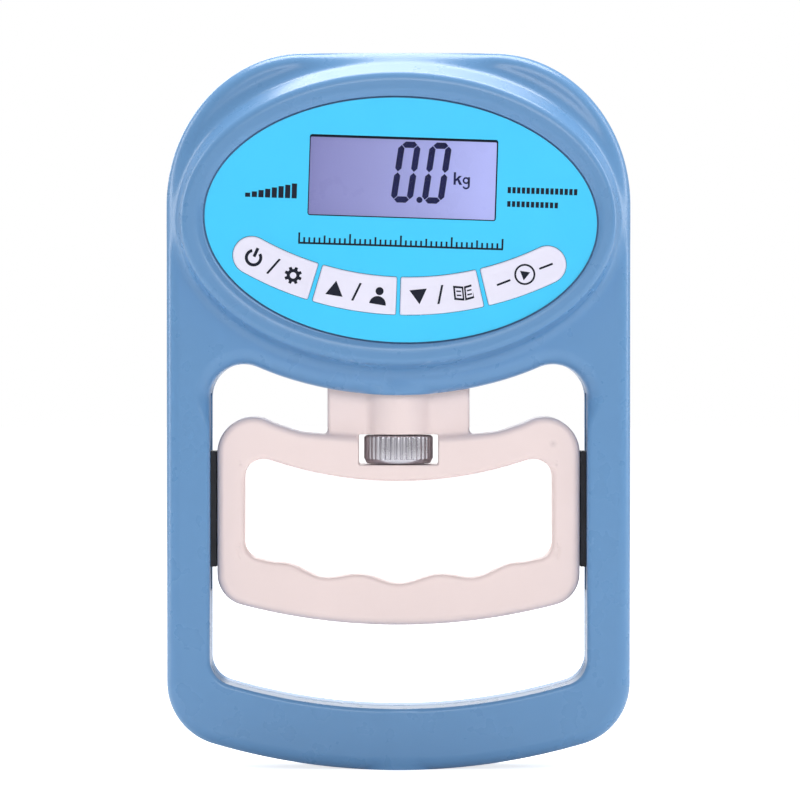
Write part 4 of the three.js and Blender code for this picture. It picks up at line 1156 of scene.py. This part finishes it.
def legend(name):
    """A key's signs, about its middle: power and set, up and user, down and memory, or start."""
    slash = slanted(bar_shape(-0.22, 0.22, -1.8, 1.8), 0.3)
    power = [annulus_arc(-4.2, -0.1, 1.1, 1.7, math.radians(125), math.radians(415))]
    power.append(bar_shape(-4.5, -3.9, 0.1, 1.95))
    teeth = np.repeat(np.arange(8) * TAU / 8, 4) + np.tile([-0.26, -0.16, 0.16, 0.26], 8)
    gear = [polar(np.tile([1.25, 1.72, 1.72, 1.25], 8), teeth, 4.2, 0), disc(4.2, 0, 0.62)[::-1]]
    head = disc(4.4, 0.85, 0.78)
    torso = polar(1.62, np.linspace(0, math.pi, 25), 4.4, -1.75)
    rise = np.array([[-5.9, -1.4], [-2.5, -1.4], [-4.2, 1.5]])
    fall = np.array([[-5.9, 1.4], [-4.2, -1.5], [-2.5, 1.4]])
    page = np.array([[2.6, -1.3], [4.55, -1.65], [4.55, 1.1], [2.6, 1.45]])
    window = np.array([[2.95, -0.95], [4.25, -1.18], [4.25, 0.75], [2.95, 0.98]])[::-1]
    line = np.array([[3.15, 0], [4.05, -0.12], [4.05, 0.16], [3.15, 0.28]])
    lines = [line + [0, z] for z in (-0.6, 0.2)]
    book = [[page, window], *lines]
    mirror = lambda points: points[::-1] * [-1, 1] + [9.25, 0]
    book += [[mirror(page), mirror(window)], *[mirror(points) for points in lines]]
    play = [[disc(0, 0, 2.05), disc(0, 0, 1.68)[::-1]], np.array([[-0.62, -1.0], [1.12, 0], [-0.62, 1.0]])]
    play += [bar_shape(side * 4.4 - 1.4, side * 4.4 + 1.4, -0.2, 0.2) for side in (-1, 1)]
    return {
        "key_power": [*power, slash, gear],
        "key_up": [rise, slash, head, torso],
        "key_down": [fall, slash, *book],
        "key_start": play,
    }[name]




def legend_print(name, material):
    left, start, end = KEYS[name]
    cap = (KEY_OUTER - KEY_INNER) / 2 / KEY_OUTER if end > math.radians(20) else 0
    angle = (start + end + cap) / 2 * (-1 if left else 1)
    radius = (KEY_INNER + KEY_OUTER) / 2
    place = (radius * math.sin(angle), KEY_CENTRE - radius * math.cos(angle), -angle)
    shapes = []
    for shape in legend(name):
        loops = shape if isinstance(shape, list) else [shape]
        shapes.append([turned_points(loop * LEGEND_SIZE, *place) for loop in loops])
    back = front_of(name) - DISH - 0.03
    flat_prisms(f"{name}_legend", shapes, back, 0.07, material, name)


def panel_print(material):
    """Generic marks: rising bars at the left, a scale under the display and two rows at the right."""
    bars = [bar_shape(-41.2 + 1.75 * i, -39.85 + 1.75 * i, 4.8, 5.9 + 0.4 * i) for i in range(8)]
    scale = [bar_shape(-26.8, 27.2, -7.1, -6.6)]
    for i in range(41):
        x = -26.6 + 53.6 * i / 40
        reach = 2.5 if i % 10 == 0 else 1.9 if i % 5 == 0 else 1.3
        scale.append(bar_shape(x - 0.24, x + 0.24, -6.62, -6.62 + reach))
    rows = []
    for count, low, high in ((15, 8.0, 9.6), (11, 4.4, 5.9)):
        rows += [bar_shape(27.9 + 1.25 * i, 28.75 + 1.25 * i, low, high) for i in range(count)]
    back = front_of("panel_overlay") - PRINT_SINK
    for name, shapes in (("panel_scale", bars + scale[:1]), ("panel_ticks", scale[1:] + rows)):
        flat_prisms(name, shapes, back, PRINT, material, "frame")


def flat_slab(name, node, grow, material):
    """A plain window or plate of the display, with a small bevel round its front face."""
    front, back, bevel = front_of(node), -limits(node)[1][1], 0.2
    outline = Outline(rectangle(*np.add(DISPLAY, (-grow, grow, -grow, grow)), 0.6), 0.8)

    def value(f, proud):
        return round_max(proud - front, f["out"], bevel)

    field = Field(value, {"out": outline}, lambda q: {}, back + 0.3, front + SKIN + 1)
    slab(name, FRONT, [outline.points], field, flat_at(back), material, "frame", [node],
         edge_rings(outline, bevel), place=PANEL, spacing=8)


# ---------------------------------------------------------------- materials


def linear(red, green, blue):
    """A colour as Blender's shader takes it, from display values of 0 to 255."""
    shares = [value / 255 for value in (red, green, blue)]
    return tuple(((c + 0.055) / 1.055) ** 2.4 if c > 0.04 else c / 12.92 for c in shares) + (1,)


def surface(name, color, roughness, grain=(1600, 0.12), mottle=0.05, spread=0.1, metallic=0.0, wear=0.0,
            coat=0.0, brushed=None, specular=0.5, worn_color=None):
    """A shader with a fine bumpy grain, uneven colour and gloss, and lighter rubbed edges."""
    material = bpy.data.materials.new(name)
    material.use_nodes = True
    nodes, links = material.node_tree.nodes, material.node_tree.links
    shader = nodes["Principled BSDF"]
    shader.inputs["Metallic"].default_value = metallic
    shader.inputs["Coat Weight"].default_value = coat
    shader.inputs["Coat Roughness"].default_value = 0.12
    shader.inputs["Specular IOR Level"].default_value = specular
    place = nodes.new("ShaderNodeTexCoord")
    stretch = nodes.new("ShaderNodeMapping")
    stretch.inputs["Scale"].default_value = brushed or (1, 1, 1)
    links.new(place.outputs["Object"], stretch.inputs["Vector"])

    def noise(scale, detail, source=place.outputs["Object"]):
        node = nodes.new("ShaderNodeTexNoise")
        node.inputs["Scale"].default_value = scale
        node.inputs["Detail"].default_value = detail
        links.new(source, node.inputs["Vector"])
        return node.outputs["Fac"]

    def spread_over(value, low, high):
        node = nodes.new("ShaderNodeMapRange")
        node.inputs["From Min"].default_value = 0.3
        node.inputs["From Max"].default_value = 0.7
        node.inputs["To Min"].default_value = low
        node.inputs["To Max"].default_value = high
        links.new(value, node.inputs["Value"])
        return node.outputs["Result"]

    def mixed(factor, first, second):
        node = nodes.new("ShaderNodeMix")
        node.data_type = "RGBA"
        links.new(factor, node.inputs["Factor"])
        for socket, value in ((node.inputs["A"], first), (node.inputs["B"], second)):
            if hasattr(value, "links"):
                links.new(value, socket)
            else:
                socket.default_value = value
        return node.outputs["Result"]

    darker = tuple(c * (1 - mottle) for c in color[:3]) + (1,)
    lighter = tuple(min(1, c * (1 + mottle)) for c in color[:3]) + (1,)
    cloud = noise(38, 5)
    shade = mixed(spread_over(cloud, 0, 1), darker, lighter)
    if wear:
        edge = nodes.new("ShaderNodeNewGeometry")
        rub = nodes.new("ShaderNodeMapRange")
        rub.inputs["From Min"].default_value = 0.54
        rub.inputs["From Max"].default_value = 0.64
        rub.inputs["To Max"].default_value = wear
        links.new(edge.outputs["Pointiness"], rub.inputs["Value"])
        patch = nodes.new("ShaderNodeMath")
        patch.operation = "MULTIPLY"
        links.new(rub.outputs["Result"], patch.inputs[0])
        links.new(spread_over(noise(210, 3), 0.2, 1), patch.inputs[1])
        worn = worn_color or tuple(min(1, 0.35 + 0.75 * c) for c in color[:3]) + (1,)
        shade = mixed(patch.outputs[0], shade, worn)
    links.new(shade, shader.inputs["Base Color"])
    gloss = spread_over(noise(120, 4), max(0.02, roughness - spread / 2), roughness + spread / 2)
    links.new(gloss, shader.inputs["Roughness"])
    scale, strength = grain
    bump = nodes.new("ShaderNodeBump")
    bump.inputs["Strength"].default_value = strength
    bump.inputs["Distance"].default_value = 0.0001
    links.new(noise(scale, 3, stretch.outputs["Vector"]), bump.inputs["Height"])
    links.new(bump.outputs["Normal"], shader.inputs["Normal"])
    return material


def clear_plastic(name):
    material = surface(name, (0.97, 0.98, 1.0, 1), 0.04, grain=(300, 0.01), mottle=0.01, spread=0.02,
                       specular=0.2)
    shader = material.node_tree.nodes["Principled BSDF"]
    shader.inputs["Transmission Weight"].default_value = 1.0
    shader.inputs["IOR"].default_value = 1.3
    return material


def display_glow_and_painted_light(name):
    """The cell's glow, partly painted light: its emission also stands in for the studio light that the
    window keeps off the cell. Lighter towards the right, with a faint unevenness.
    """
    material = surface(name, linear(80, 80, 120), 0.3, grain=(900, 0.03), mottle=0.03, specular=0.2)
    nodes, links = material.node_tree.nodes, material.node_tree.links
    shader = nodes["Principled BSDF"]
    place = nodes.new("ShaderNodeTexCoord")
    apart = nodes.new("ShaderNodeSeparateXYZ")
    links.new(place.outputs["Object"], apart.inputs["Vector"])
    across = nodes.new("ShaderNodeMapRange")
    across.inputs["From Min"].default_value = (PANEL[0] + DISPLAY[0]) * MM
    across.inputs["From Max"].default_value = (PANEL[0] + DISPLAY[1]) * MM
    links.new(apart.outputs["X"], across.inputs["Value"])
    ramp = nodes.new("ShaderNodeValToRGB")
    ramp.color_ramp.elements[0].color = linear(118, 118, 166)
    ramp.color_ramp.elements[1].color = linear(176, 182, 238)
    halfway = ramp.color_ramp.elements.new(0.5)
    halfway.color = linear(146, 149, 198)
    links.new(across.outputs["Result"], ramp.inputs["Fac"])
    # painted light: the glow's colours also stand in for the studio light that the window keeps off the
    # cell
    links.new(ramp.outputs["Color"], shader.inputs["Emission Color"])
    shader.inputs["Emission Strength"].default_value = 1.0
    return material


blue = surface("blue_abs", linear(95, 141, 187), 0.28, grain=(1400, 0.03), mottle=0.012, spread=0.03,
               wear=0.2)
cyan = surface("cyan_film", linear(53, 197, 245), 0.36, grain=(5200, 0.05), mottle=0.02, spread=0.06)
key_white = surface("key_film", linear(224, 222, 240), 0.42, grain=(5200, 0.06), mottle=0.02, wear=0.2)
clear = clear_plastic("clear_acrylic")
# the display cell's glow, partly painted light
glow_and_painted_light = display_glow_and_painted_light("display_glow_and_painted_light")
ink = surface("print_ink", linear(16, 20, 38), 0.6, grain=(4000, 0.05), mottle=0.1, specular=0.2)
segment = surface("display_segment", linear(20, 24, 84), 0.6, grain=(4000, 0.02), mottle=0.05, specular=0.1)
off_white = surface("off_white_abs", linear(231, 213, 211), 0.46, grain=(2600, 0.12), mottle=0.02,
                    wear=0.15)
nylon = surface("black_nylon", linear(16, 18, 28), 0.48, grain=(1800, 0.25), mottle=0.25, wear=0.25,
                worn_color=linear(70, 72, 84))
plated = surface("nickel_plate", linear(198, 196, 203), 0.3, grain=(900, 0.12), mottle=0.06, metallic=1.0,
                 spread=0.14, brushed=(1, 1, 0.15))
zinc = surface("zinc_plate", linear(178, 180, 184), 0.32, grain=(1500, 0.15), mottle=0.08, metallic=1.0,
               spread=0.15)
steel = surface("machined_steel", linear(170, 170, 174), 0.3, grain=(1400, 0.25), mottle=0.06, metallic=1.0,
                brushed=(1, 1, 9))
pressed = surface("pressed_steel", linear(186, 187, 190), 0.38, grain=(700, 0.2), mottle=0.07, metallic=1.0,
                  brushed=(0.1, 1, 1))
alloy = surface("machined_alloy", linear(198, 200, 204), 0.4, grain=(900, 0.2), mottle=0.05, metallic=1.0,
                brushed=(0.08, 1, 1))
laminate = surface("board_lacquer", linear(38, 100, 62), 0.35, grain=(600, 0.2), mottle=0.12, coat=0.3)
guide_light = surface("milky_guide", linear(228, 232, 240), 0.3, grain=(1200, 0.05), mottle=0.02)
sleeve_print = surface("cell_sleeve", linear(46, 74, 116), 0.28, grain=(700, 0.04), mottle=0.04, coat=0.4)
spring_plate = surface("contact_plate", linear(204, 200, 186), 0.24, grain=(1500, 0.12), mottle=0.06,
                       metallic=1.0)
black_sheath = surface("black_sheath", linear(30, 31, 34), 0.5, grain=(1500, 0.15), mottle=0.1)
red_sheath = surface("red_sheath", linear(176, 46, 38), 0.45, grain=(1500, 0.12), mottle=0.08)

cad_finish = {
    "black_nylon": nylon, "fastener_steel": zinc, "rod_steel": steel, "bracket_steel": pressed,
    "cell_alloy": alloy, "board_laminate": laminate, "light_guide": guide_light,
    "contact_metal": spring_plate, "wire_sheath": black_sheath, "wire_sheath_red": red_sheath,
    "housing_plastic": blue, "panel_film": cyan,
    "key_film": key_white, "clear_lens": clear, "lcd_glass": glow_and_painted_light, "handle_plastic": off_white,
    "wheel_metal": plated, "battery_can": sleeve_print,
}
for part in frame["record"]["subparts"]:
    for slot in frame["nodes"][part["node"]].material_slots:
        slot.material = cad_finish[part["material_slot"]]
for node in ("guide_rail_left", "guide_rail_right", "slider_left", "slider_right"):
    softened = frame["nodes"][node].modifiers.new("softened", "BEVEL")
    softened.width = 0.25 * MM
    softened.segments = 2

# ---------------------------------------------------------------- assembly
front_shell(blue)
rear_shell(blue)
battery_door(blue)
panel_sheet(cyan)
flat_slab("display_window", "display_lens", 1.2, clear)
flat_slab("lcd_cell", "lcd_module", 1.2, glow_and_painted_light)
display_print(segment)
# printed border of the window, with the painted shadow of the panel's edge
display_border_and_shadow(ink)
panel_print(ink)
handle_half(FRONT, off_white)
handle_half(REAR, off_white)
adjusting_wheel(plated)
battery("battery_lower", -1, sleeve_print)
battery("battery_upper", 1, sleeve_print)
for name in KEYS:
    key_piece(name, key_white)
    legend_print(name, ink)
for number in range(1, len(SHELL_SCREWS) + 1):
    cross_screw(f"shell_screw_{number}", 2.7, 11.5, 9.3, -4.2, 1.2, zinc, "frame")
for number in range(1, len(HANDLE_SCREWS) + 1):
    cross_screw(f"handle_screw_{number}", 2.3, 10.1, 8.3, -2.6, 1.1, zinc, "handle")

# ---------------------------------------------------------------- floor, light and camera


def brighter_to_the_eye(owner, socket, seen, strength):
    """A strength that the camera's own rays see at `seen`, and that lights the object at `strength`."""
    nodes, links = owner.node_tree.nodes, owner.node_tree.links
    ray = nodes.new("ShaderNodeLightPath")
    amount = nodes.new("ShaderNodeMapRange")
    amount.inputs["To Min"].default_value = strength
    amount.inputs["To Max"].default_value = seen
    links.new(ray.outputs["Is Camera Ray"], amount.inputs["Value"])
    links.new(amount.outputs["Result"], socket)


def floor(radius):
    rim = polar(radius, np.linspace(0, TAU, 97)[:-1])
    mesh = bpy.data.meshes.new("floor")
    mesh.from_pydata([(x, y, 0.0) for x, y in rim], [], [list(range(len(rim)))])
    material = surface("floor_paper", (0.75, 0.75, 0.75, 1), 0.8, grain=(500, 0.02), mottle=0.006,
                       specular=0.2)
    shader = material.node_tree.nodes["Principled BSDF"]
    shader.inputs["Emission Color"].default_value = (1, 1, 1, 1)
    brighter_to_the_eye(material, shader.inputs["Emission Strength"], seen=0.75, strength=0.1)
    mesh.materials.append(material)
    paper = bpy.data.objects.new("floor", mesh)
    bpy.context.scene.collection.objects.link(paper)


def area_light(name, place, target, size, power):
    data = bpy.data.lights.new(name, "AREA")
    data.shape = "RECTANGLE"
    data.size, data.size_y = size
    data.energy = power
    lamp = bpy.data.objects.new(name, data)
    lamp.location = place
    lamp.rotation_euler = (Vector(target) - Vector(place)).to_track_quat("-Z", "Y").to_euler()
    bpy.context.scene.collection.objects.link(lamp)


def white_world(seen, strength):
    """White to the camera, and a weaker light on the object."""
    world = bpy.data.worlds.new("studio")
    world.use_nodes = True
    background = world.node_tree.nodes["Background"]
    background.inputs["Color"].default_value = (1, 1, 1, 1)
    brighter_to_the_eye(world, background.inputs["Strength"], seen, strength)
    bpy.context.scene.world = world


def camera(target, distance, pitch, frame_height, sensor=36.0):
    data = bpy.data.cameras.new("camera")
    data.sensor_width = sensor
    data.lens = sensor * distance / frame_height
    data.clip_end = 50
    view = bpy.data.objects.new("camera", data)
    view.location = Vector(target) + Vector((0, -math.cos(pitch), math.sin(pitch))) * distance
    view.rotation_euler = (math.pi / 2 - pitch, 0, 0)
    bpy.context.scene.collection.objects.link(view)
    bpy.context.scene.camera = view


floor(4.0)
white_world(1.0, 0.45)
centre = (0, 0, HEIGHT * MM / 2)
area_light("front_light", (0.2, -1.1, 0.62), centre, (0.9, 0.5), 5.6)
area_light("top_light", (0.05, 0.2, 0.95), centre, (0.9, 0.4), 10)
area_light("left_light", (-0.9, 0.2, 0.4), centre, (0.25, 0.8), 3)
area_light("right_light", (0.9, 0.2, 0.45), centre, (0.25, 0.8), 3)
area_light("back_light", (-0.3, 1.2, 0.5), centre, (0.9, 0.5), 4)
camera((0.0004, -0.0052, 0.0981), 1.4, math.radians(1), 0.2124)
bpy.context.scene.view_settings.view_transform = "Standard"
